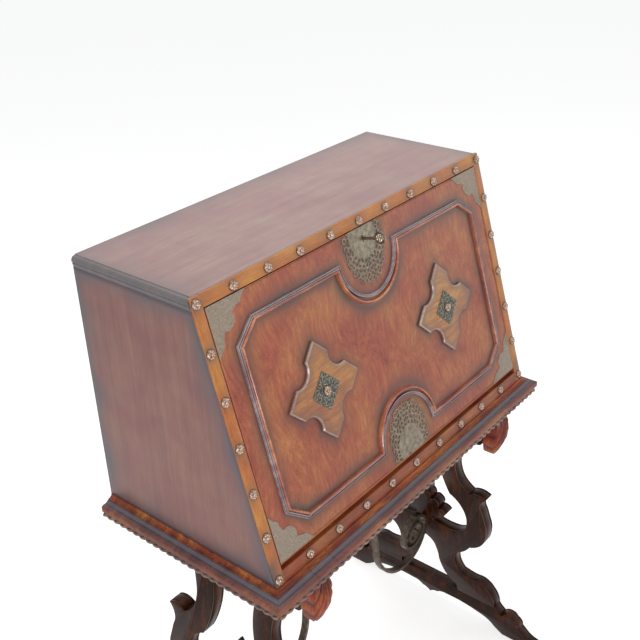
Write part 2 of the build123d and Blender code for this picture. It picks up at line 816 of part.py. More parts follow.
drawer_width = drawer_pitch - thin_board - 2 * drawer_gap
drawer_height = drawer_tier - 2 * drawer_gap
drawer_length = gallery_depth - 4
for index, name in enumerate(("left", "centre", "right")):
    x = -inner_half + (drawer_pitch - thin_board) / 2 + drawer_pitch * index
    drawer_middle = gallery_front + drawer_length / 2
    with BuildPart() as drawer:
        with Locations((x, drawer_middle, floor_level + drawer_gap * 0.4)):
            Box(
                drawer_width,
                drawer_length,
                drawer_height,
                align=(Align.CENTER, Align.CENTER, Align.MIN),
            )
        with Locations(
            (x, drawer_middle + (drawer_front - drawer_wall) / 2, floor_level + drawer_wall)
        ):
            Box(
                drawer_width - 2 * drawer_wall,
                drawer_length - drawer_front - drawer_wall,
                drawer_height,
                align=(Align.CENTER, Align.CENTER, Align.MIN),
                mode=Mode.SUBTRACT,
            )
        # a bevelled field on the front
        field = (drawer_width - 2 * drawer_front, drawer_height - 2 * drawer_front)
        with BuildSketch(Plane.XZ.offset(-gallery_front)):
            with Locations((x, floor_level + drawer_height / 2)):
                Rectangle(*field)
        extrude(amount=drawer_field, taper=30)
    keep(drawer, f"drawer_{name}")

    # a faceted knob: an eight-sided head on a neck, its face chamfered
    with BuildPart() as knob:
        face = gallery_front - drawer_field
        centre = (x, floor_level + drawer_height / 2)
        with BuildSketch(Plane.XZ.offset(-face)):
            with Locations(centre):
                RegularPolygon(knob_neck, 8)
        extrude(amount=knob_stand)
        with BuildSketch(Plane.XZ.offset(knob_stand - face)):
            with Locations(centre):
                RegularPolygon(knob_radius, 8)
        extrude(amount=knob_head)
        chamfer(knob.faces().sort_by(Axis.Y)[0].edges(), knob_chamfer)
    keep(knob, f"drawer_knob_{name}")

# ---------------------------------------------------------------- trestles
stretch = hypot(1, splay)
rail_foot = base_level - frame_depth - top_rail_height
outer_at_base = half - trestle_inset


def outer_x(level):
    """Distance of a trestle's outer face from the middle, at a height above the floor."""
    return outer_at_base + splay * (base_level - level)


def trestle_plane(side):
    """The outer face of a trestle: x to the front, y up the board, origin at the floor."""
    return Plane(
        origin=(side * outer_x(0), 0, 0),
        x_dir=(0, -1, 0),
        z_dir=(-1, 0, -side * splay),
    )


def board_point(reach, level):
    """A point of the trestle's outline from its reach and its height above the floor."""
    return (reach, level * stretch)


def web_nail_plane(side):
    """Where a stretcher is nailed to its trestle: z runs square into the wood."""
    # the head's edges bear on the inside of the scroll
    out = sqrt((scroll_radius - iron_thickness / 2) ** 2 - forged_head**2 / 4)
    inner_x = outer_x(scroll_level) - trestle_thickness
    centre_x = inner_x - stretch * (scroll_radius + iron_thickness / 2)
    return Plane(
        origin=(side * (centre_x + out / stretch), 0, scroll_level + out * splay / stretch),
        x_dir=(0, 1, 0),
        z_dir=(side, 0, splay),
    )


def trestle_board(side, fore, outline):
    """A board of a trestle from lines drawn for the front half, turned over for the rear."""
    with BuildPart(mode=Mode.PRIVATE) as piece:
        with BuildSketch(trestle_plane(side)):
            with BuildLine():
                for kind, points in outline:
                    places = [board_point(fore * reach, level) for reach, level in points]
                    if kind == "line":
                        Polyline(*places)
                    else:
                        flowing(*places)
            make_face()
        extrude(amount=trestle_thickness, dir=(-side, 0, 0))
    return piece


scroll_leg = [
    ("line", [(66, rail_foot), (118, rail_foot)]),
    ("curve", [(118, rail_foot), (95, 516), (93, 478), (102, 448), (125, 425)]),
    ("curve", [(125, 425), (146, 431.5), (167.5, 425)]),
    ("curve", [(167.5, 425), (152.5, 400), (159, 370), (167, 325), (148, 270), (122, 252)]),
    ("curve", [(122, 252), (110, 235), (84, 209), (77.5, 178), (91, 146)]),
    ("curve", [(91, 146), (118, 141), (147, 141.4), (177, 113), (184, foot_top)]),
    ("line", [(184, foot_top), (82.7, foot_top), (80, 102)]),
    ("curve", [(80, 102), (53.3, 122), (36, 157), (30, 191), (18.7, 217), (0, web_foot)]),
    ("line", [(0, web_foot), (0, web_top), (29, web_top)]),
    (
        "curve",
        [(29, web_top), (59, 282), (89, 287.4), (111, 307), (116.5, 331), (105, 374), (74.3, 401)],
    ),
    ("curve", [(74.3, 401), (60, 438), (51, 481), (66, rail_foot)]),
]

finial = [
    ("line", [(0, web_top), (29, web_top)]),
    ("curve", [(29, web_top), (20, 295), (23, 304)]),
    ("curve", [(23, 304), (48, 311), (60, 326)]),
    ("curve", [(60, 326), (52, 333), (38, 334)]),
    ("curve", [(38, 334), (42, 346), (35, 357)]),
    ("curve", [(35, 357), (28, 360), (19, 355)]),
    ("curve", [(19, 355), (20, 366), (14, 374)]),
    ("curve", [(14, 374), (12, 396), (0, 414)]),
    ("line", [(0, 414), (0, web_top)]),
]

foot_rail_half = [
    ("line", [(0, foot_top), (184, foot_top), (189, 74), (200, 63)]),
    ("curve", [(200, 63), (212, 72), (229, 70)]),
    ("line", [(229, 70), (235, 62)]),
    ("curve", [(235, 62), (245, 51), (246, 40)]),
    ("line", [(246, 40), (259, 26)]),
    ("curve", [(259, 26), (272, 16), (287, 12)]),
    ("line", [(287, 12), (foot_reach, 6), (foot_reach, 0), (205, 0)]),
    ("curve", [(205, 0), (190, 10), (166, 29), (129, 40), (49, 45)]),
    ("curve", [(49, 45), (33, 43), (22, 36)]),
    ("curve", [(22, 36), (10, 33), (0, 25)]),
    ("line", [(0, 25), (0, foot_top)]),
]

for name, side in (("left", -1), ("right", 1)):
    for fore, end in ((1, "front"), (-1, "rear")):
        with BuildPart() as leg:
            add(trestle_board(side, fore, scroll_leg).part)
            with Locations(web_nail_plane(side)):
                Box(
                    forged_shank,
                    forged_shank,
                    forged_length,
                    align=(Align.CENTER, Align.CENTER, Align.MIN),
                    mode=Mode.SUBTRACT,
                )
        keep(leg, f"{name}_leg_{end}")
    with BuildPart() as ornament:
        add(trestle_board(side, 1, finial).part)
        mirror(about=Plane.XZ)
    keep(ornament, f"{name}_finial")
    with BuildPart() as foot_rail:
        add(trestle_board(side, 1, foot_rail_half).part)
        mirror(about=Plane.XZ)
    keep(foot_rail, f"{name}_foot_rail")
    with BuildPart() as top_rail:
        with Locations((side * loper_x, 0, rail_foot + top_rail_height / 2)):
            Box(top_rail_width, top_rail_length, top_rail_height)
        fillet(top_rail.edges().filter_by(Axis.X).group_by(Axis.Z)[0], 12)
    keep(top_rail, f"{name}_top_rail")

# ---------------------------------------------------------------- wrought-iron stretchers
scroll_x = outer_x(scroll_level) - trestle_thickness - stretch * (scroll_radius + iron_thickness / 2)


def stretcher_line():
    """Centre line of the right stretcher: a scroll that runs on in a long sweep up to the case."""
    with BuildLine() as path:
        # half circles of shrinking radius, each carrying on from the last
        centre = scroll_x
        radius = scroll_radius
        up = 1
        for shrink in (0.8, 0.74, 0.68, 0.55):
            start = centre + up * radius
            end = centre - up * radius
            top = scroll_level + up * radius
            ThreePointArc((start, scroll_level), (centre, top), (end, scroll_level))
            centre = end + up * radius * shrink
            radius *= shrink
            up = -up
        flowing(
            (scroll_x + scroll_radius, scroll_level),
            (scroll_x + 25, 228),
            (scroll_x - 33, 201),
            (195, 211),
            (156, 240),
            (134, 272),
            (117, 357),
            (103, 456),
            (80, 590),
            (stretcher_x, base_level - palm_thickness),
        )
    return path.line


with BuildPart() as iron:
    with BuildSketch(Plane.XZ.offset(-iron_width / 2)):
        with BuildLine():
            add(stretcher_line())
        trace(line_width=iron_thickness)
    extrude(amount=iron_width)
    # palm that is nailed up under the case
    with Locations((stretcher_x, 0, base_level - palm_thickness / 2)):
        Box(palm_length, iron_width + 6, palm_thickness)
    with BuildSketch(Plane.XY.offset(base_level)):
        with Locations(*[(x, 0) for x in palm_nails if x > 0]):
            Rectangle(forged_shank, forged_shank)
    extrude(amount=-palm_thickness, mode=Mode.SUBTRACT)
    with Locations(web_nail_plane(1)):
        Box(
            forged_shank,
            forged_shank,
            2 * iron_thickness,
            align=(Align.CENTER, Align.CENTER, Align.MIN),
            mode=Mode.SUBTRACT,
        )
keep(iron, "iron_stretcher_right")
with BuildPart() as iron_left:
    add(iron.part.mirror(Plane.YZ))
keep(iron_left, "iron_stretcher_left")

# a forged nail, its head below the origin and its square shank above it
with BuildPart() as forged_nail:
    with BuildSketch():
        Rectangle(forged_head, forged_head)
    extrude(amount=-forged_dome, taper=45)
    with BuildSketch():
        Rectangle(forged_shank, forged_shank)
    extrude(amount=forged_length)

with BuildPart() as stretcher_nails:
    for x in palm_nails:
        add(Pos(x, 0, base_level - palm_thickness) * forged_nail.part)
    for side in (-1, 1):
        add(web_nail_plane(side) * forged_nail.part)
keep(stretcher_nails, "stretcher_nails")
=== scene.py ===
"""A drop-front writing desk on two splayed lyre trestles: its finishes, carving, metalwork and studio."""

import logging
import math
from collections.abc import Callable
from dataclasses import dataclass, replace
from enum import Enum
from functools import partial

import bmesh
import bpy
from bmesh import ops
from mathutils import Matrix, Vector, kdtree, noise

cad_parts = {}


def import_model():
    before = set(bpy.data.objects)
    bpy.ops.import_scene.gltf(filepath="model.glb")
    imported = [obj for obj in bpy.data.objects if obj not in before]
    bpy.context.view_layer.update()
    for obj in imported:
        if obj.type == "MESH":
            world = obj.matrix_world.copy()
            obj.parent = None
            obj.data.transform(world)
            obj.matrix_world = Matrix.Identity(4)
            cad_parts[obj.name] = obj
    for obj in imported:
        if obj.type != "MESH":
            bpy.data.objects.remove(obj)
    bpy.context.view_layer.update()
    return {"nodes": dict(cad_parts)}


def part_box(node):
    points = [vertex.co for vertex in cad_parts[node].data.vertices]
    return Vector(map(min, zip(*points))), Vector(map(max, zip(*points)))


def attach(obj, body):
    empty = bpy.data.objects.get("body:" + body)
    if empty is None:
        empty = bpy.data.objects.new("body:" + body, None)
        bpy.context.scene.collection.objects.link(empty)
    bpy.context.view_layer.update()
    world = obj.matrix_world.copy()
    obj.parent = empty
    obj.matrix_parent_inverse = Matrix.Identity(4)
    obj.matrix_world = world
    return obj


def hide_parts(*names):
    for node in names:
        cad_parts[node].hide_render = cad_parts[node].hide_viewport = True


log = logging.getLogger("desk")

Shape, Face, Edge, Vert = bmesh.types.BMesh, bmesh.types.BMFace, bmesh.types.BMEdge, bmesh.types.BMVert
Piece, Mesh, Material, Socket = bpy.types.Object, bpy.types.Mesh, bpy.types.Material, bpy.types.NodeSocket
Pairs = list[tuple[float, float]]
Runs = list[tuple[Vector, Vector]]
Add = Callable[..., Socket]

MM = 0.001
PATINA_AND_PAINTED_LIGHT = "patina"
SIDES = (("left", -1), ("right", 1))
WHITE = (1, 1, 1, 1)
TIP = 0.02  # run of a step that stands straight up from an outline, in millimetres


# ---- colours and nodes
def linear(code: str) -> tuple[float, float, float, float]:
    """Six sRGB hex digits as linear red, green and blue, with a full alpha."""
    parts = [int(code[i : i + 2], 16) / 255 for i in (0, 2, 4)]
    return (*[p / 12.92 if p <= 0.04045 else ((p + 0.055) / 1.055) ** 2.4 for p in parts], 1.0)


def add_node(
    tree: bpy.types.NodeTree,
    kind: str,
    feeds: dict[str | int, object] | tuple = (),
    stops: list[tuple[float, str]] | None = None,
    out: str | int = 0,
    **settings: object,
) -> Socket | None:
    """Add a node to a tree, with its settings, values and links.

    Args:
        tree: the tree that takes the node.
        kind: the node's type name after ShaderNode.
        feeds: a value or another node's socket for each input, by name or number, or in their order.
        stops: places and hex colours, for a colour ramp.
        out: the wanted output's name or number.
        settings: properties of the node itself.

    Returns:
        The wanted output, where the node has any.
    """
    made = tree.nodes.new("ShaderNode" + kind)
    for name, value in settings.items():
        setattr(made, name, value)
    for socket, value in feeds.items() if isinstance(feeds, dict) else enumerate(feeds):
        if isinstance(value, Socket):
            tree.links.new(value, made.inputs[socket])
        else:
            made.inputs[socket].default_value = value
    if stops:
        elements = made.color_ramp.elements
        while len(elements) < len(stops):
            elements.new(1.0)
        for element, (place, code) in zip(elements, stops):
            element.position = place
            element.color = linear(code)
    return made.outputs[out] if made.outputs else None


def new_material(name: str) -> tuple[Material, Add]:
    """Make an empty node material and return it with the function that adds a node to it."""
    material = bpy.data.materials.new(name)
    material.use_nodes = True
    material.node_tree.nodes.clear()
    return material, partial(add_node, material.node_tree)


class Grain(Enum):
    """The way that a board's grain runs, as turns that bring it onto the pattern's X."""

    ACROSS = (0.0, 0.0, 0.0)
    UPRIGHT = (0.0, math.pi / 2, 0.0)


@dataclass(frozen=True)
class Finish:
    """A surface's name and its three tones, darkest first."""

    name: str
    dark: str
    middle: str
    light: str

    def material(self) -> Material:
        """The finish's material, made when it is first asked for."""
        found = bpy.data.materials.get(self.name)
        if not found:
            found, add = new_material(self.name)
            add("OutputMaterial", {"Surface": self.surface(add, add("TexCoord", out="Object"))})
        return found

    def tones(self, add: Add, value: Socket, places: tuple[float, ...]) -> Socket:
        """The three tones, laid on a pattern's value at three places."""
        return add("ValToRGB", {"Fac": value}, list(zip(places, (self.dark, self.middle, self.light))))

    @staticmethod
    def patina_and_light(add: Add) -> Socket:
        """The value of the attribute of patina and painted light, which is nought on a piece without one."""
        return add("Attribute", out="Fac", attribute_name=PATINA_AND_PAINTED_LIGHT, attribute_type="GEOMETRY")

    @staticmethod
    def tinted_by_dirt_and_light(add: Add, share: Socket, tone: Socket, dirt: str) -> Socket:
        """A tone under its share of another colour, which stands for dirt and, on many pieces, painted shade
        and painted reflection.
        """
        return add("Mix", {"Factor": share, 6: tone, 7: linear(dirt)}, out=2, data_type="RGBA")


@dataclass(frozen=True)
class Wood(Finish):
    """Planed, stained and waxed wood: long fibres, a flowing figure, and dirt and painted light where its
    patina attribute says.
    """

    # the colour that the patina attribute mixes in: dirt, and on many pieces painted shade and painted
    # reflection
    grime_and_painted_light: str
    grain: Grain = Grain.ACROSS
    fibre_mm: float = 1.7
    figure_mm: float = 15.0
    cloud_mm: float = 80.0
    stretch: float = 11.0
    flow_mm: float = 10.0
    spread: float = 0.12
    roughness: float = 0.42
    specular: float = 0.4
    wax: float = 0.2
    polish: float = 0.28
    drift: float = 0.008
    relief_mm: float = 0.12

    def figure(self, add: Add, place: Socket) -> tuple[Socket, Socket, Socket]:
        """Lay the grain's pattern.

        Args:
            add: the function that adds a node.
            place: the coordinates that it is laid on.

        Returns:
            The whole figure with its clouds, the fibres alone and the clouds alone.
        """
        bend = add("TexNoise", {"Vector": place, "Scale": 8.0, "Detail": 1.0}, out="Color")
        reach = 2 * self.flow_mm * MM
        bent = add("VectorMath", (bend, (reach, reach, reach), place), operation="MULTIPLY_ADD")
        turned = add("Mapping", {"Vector": bent, "Rotation": self.grain.value})
        drawn = add("Mapping", {"Vector": turned, "Scale": (1 / self.stretch, 1.0, 1.0)})
        fibres, flames, clouds = (
            add("TexNoise", {"Vector": on, "Scale": 1 / (size * MM), "Detail": detail, "Roughness": 0.62})
            for on, size, detail in (
                (drawn, self.fibre_mm, 2.0),
                (drawn, self.figure_mm, 4.0),
                (place, self.cloud_mm, 2.0),
            )
        )
        grained = add("Mix", {"Factor": 0.6, "A": fibres, "B": flames})
        return add("Mix", {"Factor": 0.25, "A": grained, "B": clouds}), grained, clouds

    def surface(self, add: Add, place: Socket) -> Socket:
        """Build the wood's shader, which reads Object coordinates and the piece's patina and painted light.
        """
        whole, grained, clouds = self.figure(add, place)
        ramp = self.tones(add, whole, (0.5 - self.spread, 0.5, 0.5 + self.spread))
        # the stain's hue drifts between redder and browner over a hand's width
        hue = add("MapRange", (clouds, 0.36, 0.64, 0.5 - self.drift, 0.5 + self.drift))
        tone = add("HueSaturation", {"Hue": hue, "Color": ramp})
        ragged = add("MapRange", (whole, 0.35, 0.65, 0.72, 1.28))
        dirt_and_light_share = add("Math", (self.patina_and_light(add), ragged), operation="MULTIPLY", use_clamp=True)
        sockets = {
            "Base Color": self.tinted_by_dirt_and_light(add, dirt_and_light_share, tone, self.grime_and_painted_light),
            "Roughness": add("MapRange", (grained, 0.3, 0.7, self.roughness - 0.08, self.roughness + 0.1)),
            "Specular IOR Level": self.specular,
            "Normal": add("Bump", {"Strength": 0.4, "Distance": self.relief_mm * MM, "Height": grained}),
            "Coat Weight": self.wax,
            "Coat Roughness": self.polish,
        }
        return add("BsdfPrincipled", sockets)


@dataclass(frozen=True)
class Metal(Finish):
    """Cast or forged metal, patinated: bright where rubbed, dull and mottled in its hollows, and dark where
    its attribute paints shade.
    """

    roughness: float = 0.42
    metallic: float = 1.0
    mottle_mm: float = 7.0
    relief_mm: float = 0.25
    engraving_mm: float = 0.0

    def surface(self, add: Add, place: Socket) -> Socket:
        """Build the metal's shader, which reads Object coordinates and the piece's patina and painted shade.
        """
        grit = {"Vector": place, "Scale": 1 / (self.mottle_mm * MM), "Detail": 5.0, "Roughness": 0.65}
        height = mottle = add("TexNoise", grit)
        if self.engraving_mm:
            # rings of this wave lie 0.314 of its scale apart, and the distortion curls them into scrolls
            curl = {"Vector": place, "Scale": 0.314 / (self.engraving_mm * MM), "Distortion": 26.0}
            curl.update({"Detail": 2.5, "Detail Scale": 1.6})
            scrolls = add("TexWave", curl, out="Fac", wave_type="RINGS")
            height = add("Mix", {"Factor": 0.3, "A": mottle, "B": scrolls})
        tone = self.tones(add, height, (0.16, 0.46, 0.74))
        sockets = {
            "Base Color": self.tinted_by_dirt_and_light(add, self.patina_and_light(add), tone, self.dark),
            "Metallic": self.metallic,
            "Roughness": add("MapRange", (mottle, 0.3, 0.7, self.roughness + 0.1, self.roughness - 0.06)),
            "Normal": add("Bump", {"Strength": 0.6, "Distance": self.relief_mm * MM, "Height": height}),
        }
        return add("BsdfPrincipled", sockets)


@dataclass(frozen=True)
class Finishes:
    """Every finish of the desk."""

    # stained walnut, waxed: red-brown, its tones paled and greyed on the level top as a painted cool sheen
    top: Wood = Wood(
        "waxed_walnut_top", "8A6862", "9C7872", "AC8A84", "5E5A5C",
        stretch=20.0, fibre_mm=1.3, flow_mm=5.0, spread=0.16, roughness=0.34, specular=0.5,
    )
    # the same wood upright on the sides, shaded grey round its edges
    side: Wood = Wood(
        "waxed_walnut_side", "74463E", "86574E", "966A60", "525058",
        grain=Grain.UPRIGHT, fibre_mm=1.3, stretch=22.0, flow_mm=3.0, spread=0.15,
    )
    # redder figured walnut of the fall, with grime and painted shade against its mouldings and plaques
    field: Wood = Wood(
        "figured_walnut_field", "74321D", "9A5030", "BA7247", "443832",
        grain=Grain.UPRIGHT, fibre_mm=1.4, figure_mm=7.0, stretch=7.0, flow_mm=42.0, spread=0.17,
        drift=0.007, roughness=0.38,
    )
    # beech lippings under honey stain, grey with dirt beside the nails
    lipping: Wood = Wood(
        "honey_beech_lipping", "94541F", "B06C2E", "C68640", "4E443E", spread=0.16, roughness=0.36
    )
    # the lowest lipping, rubbed with dark stain
    foot_lipping: Wood = Wood(
        "dark_beech_lipping", "6A2E14", "8C4620", "A86034", "3E2C26", spread=0.14, roughness=0.36
    )
    # gold-brown walnut of the applied plaques, browned at their edges
    plaque: Wood = Wood(
        "golden_walnut_plaque", "7E4A1E", "A3662B", "BE853C", "5E4034",
        figure_mm=8.0, flow_mm=20.0, roughness=0.36, wax=0.7, polish=0.14,
    )
    # the plaques' edges, painted pale as a highlight, with painted shade and dirt at their foot
    plaque_edge_highlight: Wood = Wood(
        "highlit_plaque_edge", "7C5C50", "9C7E74", "B8A29A", "2E1C16", wax=0.9, polish=0.12
    )
    # outer fillet of the carved band, painted slate-grey as a reflection of the sky, with painted shade in
    # its groove
    fillet: Wood = Wood("sky_grey_band_fillet", "6A5656", "8E7A7C", "B0A0A4", "1C1618", wax=0.9, polish=0.12)
    # bead of the carved band, rubbed through to coral-red wood, with painted shade along its inner foot
    bead: Wood = Wood("rubbed_band_bead", "702C18", "A05234", "C87A50", "2C100A", wax=0.9, polish=0.12)
    # base moulding, red-brown, with a painted slate-grey reflection of the sky on its ledge and painted shade
    # in its quirk
    moulding: Wood = Wood(
        "stained_walnut_moulding", "52210F", "7E3B1A", "B06630", "555F68",
        specular=0.2, wax=0.15, polish=0.16,
    )
    # twisted rope, with painted shade nearly black in its hollows, and a hard polish
    rope: Wood = Wood(
        "polished_dark_rope", "4A2C22", "7E5442", "AC8466", "0A0606", specular=0.3, wax=0.3, polish=0.14
    )
    # carved shells of red wood, with painted shade near black at the hinge and in the flutes
    shell: Wood = Wood(
        "polished_carved_shell", "571E0E", "8C3A1A", "B65E30", "170E0D",
        grain=Grain.UPRIGHT, specular=0.2, polish=0.16,
    )
    # trestles, sawn and carved walnut under a near-black stain
    trestle: Wood = Wood(
        "black_stained_walnut", "170A05", "2C140A", "5A2C14", "0E0807",
        grain=Grain.UPRIGHT, spread=0.14, roughness=0.34, specular=0.1, wax=0.05, polish=0.16,
    )
    # plain oak of the writing interior
    interior: Wood = Wood(
        "oiled_oak_interior", "744A2A", "906238", "A87C4C", "3C2A1E", roughness=0.5, wax=0.1
    )
    # cast bronze plates, olive-grey with age
    bronze: Metal = Metal(
        "aged_cast_bronze", "332B24", "7E7464", "A0957F", roughness=0.44, metallic=0.5, mottle_mm=9.0
    )
    # the same, engraved with foliage
    engraved: Metal = Metal(
        "engraved_cast_bronze", "66584C", "887A6C", "A2937F", metallic=0.4, mottle_mm=3.0, engraving_mm=2.6
    )
    # stamped copper-bronze nail heads
    nail: Metal = Metal(
        "stamped_bronze_nail", "3A2A22", "A08474", "E2CCB8", roughness=0.33, metallic=0.7, mottle_mm=4.0
    )
    # plaques' fretted plates, verdigris over bronze
    verdigris: Metal = Metal("verdigris_bronze", "2C2A24", "7A776B", "ACA898", roughness=0.46, metallic=0.45)
    # lock, bolt and the key's bow, worn brass gone silvery
    brass: Metal = Metal("worn_brass", "6E6454", "A59A84", "CFC6B0", roughness=0.32)
    # the key's shank, its steel painted dark brown as the shade it lies in
    key: Metal = Metal("shaded_key_steel", "2C2420", "6A5C54", "B4AAA2", roughness=0.3, mottle_mm=5.0)
    # forged iron, scaled and waxed
    iron: Metal = Metal("forged_iron", "2E2722", "54493E", "7C6C5A", metallic=0.7, mottle_mm=10.0)
    # a black sheet painted as the shade inside the keyhole
    void: Metal = Metal("keyhole_shade_black", "0C0A09", "120F0D", "1A1613", roughness=0.8, metallic=0.2)


# ---- mesh helpers
def mm(x: float, y: float, z: float = 0.0) -> Vector:
    """A point or a step, from millimetres."""
    return Vector((x * MM, y * MM, z * MM))


def shift(x: float, y: float, z: float = 0.0) -> Matrix:
    """A move by millimetres."""
    return Matrix.Translation(mm(x, y, z))


def turn(angle: float) -> Matrix:
    """A turn about Z by an angle in radians."""
    return Matrix.Rotation(angle, 4, "Z")


def show(name: str, shape: Shape) -> Piece:
    """Put a shape in the scene as an object, and free it."""
    mesh = bpy.data.meshes.new(name)
    shape.to_mesh(mesh)
    shape.free()
    piece = bpy.data.objects.new(name, mesh)
    bpy.context.scene.collection.objects.link(piece)
    return piece


def finished(
    name: str,
    shape: Shape,
    finish: Finish,
    body: str,
    replaces: tuple[str, ...] = (),
    crease: float = 35.0,
) -> Piece:
    """Make an object of a mesh, dress it and hang it on its body.

    Args:
        name: the piece's name.
        shape: its mesh, already in place. It is freed.
        finish: what it is made of.
        body: the CAD body that it moves with.
        replaces: the CAD nodes that it stands for.
        crease: edges sharper than this many degrees stay sharp.

    Returns:
        The finished object.
    """
    piece = show(name, shape)
    mesh = piece.data
    mesh.polygons.foreach_set("use_smooth", [True] * len(mesh.polygons))
    mesh.set_sharp_from_angle(angle=math.radians(crease))
    mesh.materials.append(finish.material())
    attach(piece, body)
    if replaces:
        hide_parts(*replaces)
    log.info("%s: %d faces on %s", name, len(mesh.polygons), body)
    return piece


def thicken(piece: Piece, depth: float) -> None:
    """Give a veneer its thickness below its face, in millimetres."""
    skin = piece.modifiers.new("thickness", "SOLIDIFY")
    skin.thickness = depth * MM
    skin.offset = -1


def put(shape: Shape, place: Matrix, start: int = 0) -> None:
    """Move a shape's points by a matrix, from one of them on."""
    shape.verts.ensure_lookup_table()
    ops.transform(shape, matrix=place, verts=shape.verts[start:])


def stamp(target: Shape, pattern: Mesh, place: Matrix) -> None:
    """Add a copy of a mesh to a shape, put in place by a matrix."""
    before = len(target.verts)
    target.from_mesh(pattern)
    put(target, place, before)


def as_pattern(shape: Shape) -> Mesh:
    """Turn a shape into a loose mesh that stamp() can copy, and free it."""
    pattern = bpy.data.meshes.new("pattern")
    shape.to_mesh(pattern)
    shape.free()
    return pattern


def whole(shape: Shape) -> list[Vert | Edge | Face]:
    """Every point, edge and face of a shape."""
    return shape.verts[:] + shape.edges[:] + shape.faces[:]


def outward(shape: Shape) -> Shape:
    """Turn a shape's faces outward and return it."""
    ops.recalc_face_normals(shape, faces=shape.faces)
    return shape


def flat_face(shape: Shape, outline: list[Vector]) -> Face:
    """Close an outline into one face of a shape."""
    face = shape.faces.new([shape.verts.new(point) for point in outline])
    # an inset raises its corners along their own normals, which a new face doesn't have yet
    shape.normal_update()
    return face


def stepped_edge(shape: Shape, face: Face, steps: Pairs) -> Face:
    """Work a moulded edge into a face by a chain of insets.

    Args:
        shape: the mesh that holds the face.
        face: the face to work in from its rim.
        steps: how far each step runs in and rises, in millimetres.

    Returns:
        The face that is left inside the moulding.
    """
    for run, rise in steps:
        size = {"thickness": run * MM, "depth": rise * MM}
        ops.inset_region(shape, faces=[face], use_even_offset=True, use_boundary=True, **size)
    return face


def worked_face(outline: list[Vector], steps: Pairs) -> tuple[Shape, Face]:
    """A new shape of one outline with a moulded edge, and the face inside the edge."""
    shape = bmesh.new()
    return shape, stepped_edge(shape, flat_face(shape, outline), steps)


def merged_copy(node: Piece) -> Shape:
    """Copy a CAD node's mesh, its corners joined and its flat faces made whole."""
    shape = bmesh.new()
    shape.from_mesh(node.data)
    ops.remove_doubles(shape, verts=shape.verts, dist=0.01 * MM)
    ops.dissolve_limit(shape, angle_limit=math.radians(0.8), verts=shape.verts, edges=shape.edges)
    return shape


def ease(shape: Shape, edges: list[Edge], width: float, clamp: bool) -> None:
    """Round edges by a width in millimetres, held back with clamp where they would meet."""
    ops.bevel(
        shape,
        geom=edges,
        offset=width * MM,
        segments=2,
        profile=0.5,
        material=-1,
        affect="EDGES",
        clamp_overlap=clamp,
    )


def pull(shape: Shape, faces: list[Face], step: Vector) -> tuple[list[Vert], list[Face]]:
    """Draw faces out by a step in metres.

    Args:
        shape: the mesh that holds them.
        faces: the faces to draw out.
        step: how far, and which way.

    Returns:
        The new points and the new faces.
    """
    made = ops.extrude_face_region(shape, geom=faces)["geom"]
    points, fresh = ([part for part in made if isinstance(part, kind)] for kind in (Vert, Face))
    ops.translate(shape, vec=step, verts=points)
    return points, fresh


def cut(shape: Shape, at: Vector, normal: Vector, cap: bool = False) -> list[Vert]:
    """Cut a shape on a plane.

    Args:
        shape: the mesh to cut.
        at: a point of the plane.
        normal: the plane's normal.
        cap: whether what lies beyond the plane goes, and the cut is closed.

    Returns:
        The points along the cut.
    """
    made = ops.bisect_plane(shape, geom=whole(shape), plane_co=at, plane_no=normal, clear_outer=cap)
    points, edges = ([part for part in made["geom_cut"] if isinstance(part, kind)] for kind in (Vert, Edge))
    if cap:
        ops.contextual_create(shape, geom=edges)
    return points


def score(shape: Shape, start: Vector, step: Vector, reach: float) -> None:
    """Cut a shape across by parallel planes, so that its patina has points to lie on.

    Args:
        shape: the mesh to cut.
        start: a point of the plane before the first.
        step: from each plane to the next, square to them.
        reach: how far the planes go on, in metres.
    """
    for i in range(1, int(reach / step.magnitude) + 1):
        cut(shape, start + step * i, step.normalized())


def arc(centre: Vector, radius: float, start: float, end: float, count: int) -> list[Vector]:
    """Points along an arc in the XY plane, from one angle in degrees to another."""
    angles = [math.radians(start + (end - start) * i / count) for i in range(count + 1)]
    return [centre + radius * Vector((math.cos(a), math.sin(a), 0.0)) for a in angles]


def quartered(side: list[Vector]) -> list[Vector]:
    """An outline of one side's points repeated by quarter turns, from millimetres."""
    turns = [Matrix.Rotation(i * math.pi / 2, 3, "Z") for i in range(4)]
    return [(way @ point) * MM for way in turns for point in side]


def sheet(corners: list[Vector], step: float) -> Shape:
    """A fine grid stretched between four corners, given round its outline.

    Args:
        corners: lower left, lower right, upper right and upper left.
        step: the grid's pitch in millimetres.

    Returns:
        The grid.
    """
    across, up = (int((corners[end] - corners[0]).length / (step * MM)) for end in (1, 3))
    shape = bmesh.new()
    ops.create_grid(shape, x_segments=across, y_segments=up, size=1.0)
    for vertex in shape.verts:
        u, v = (vertex.co.x + 1) / 2, (vertex.co.y + 1) / 2
        vertex.co = corners[0].lerp(corners[1], u).lerp(corners[3].lerp(corners[2], u), v)
    return shape


# ---- patina and painted light
def shade(piece: Piece, rule: Callable[[Vector], float]) -> None:
    """Give a piece patina and painted light that a rule finds from each point's place."""
    layer = piece.data.attributes.new(PATINA_AND_PAINTED_LIGHT, "FLOAT", "POINT")
    layer.data.foreach_set("value", [rule(vertex.co) for vertex in piece.data.vertices])


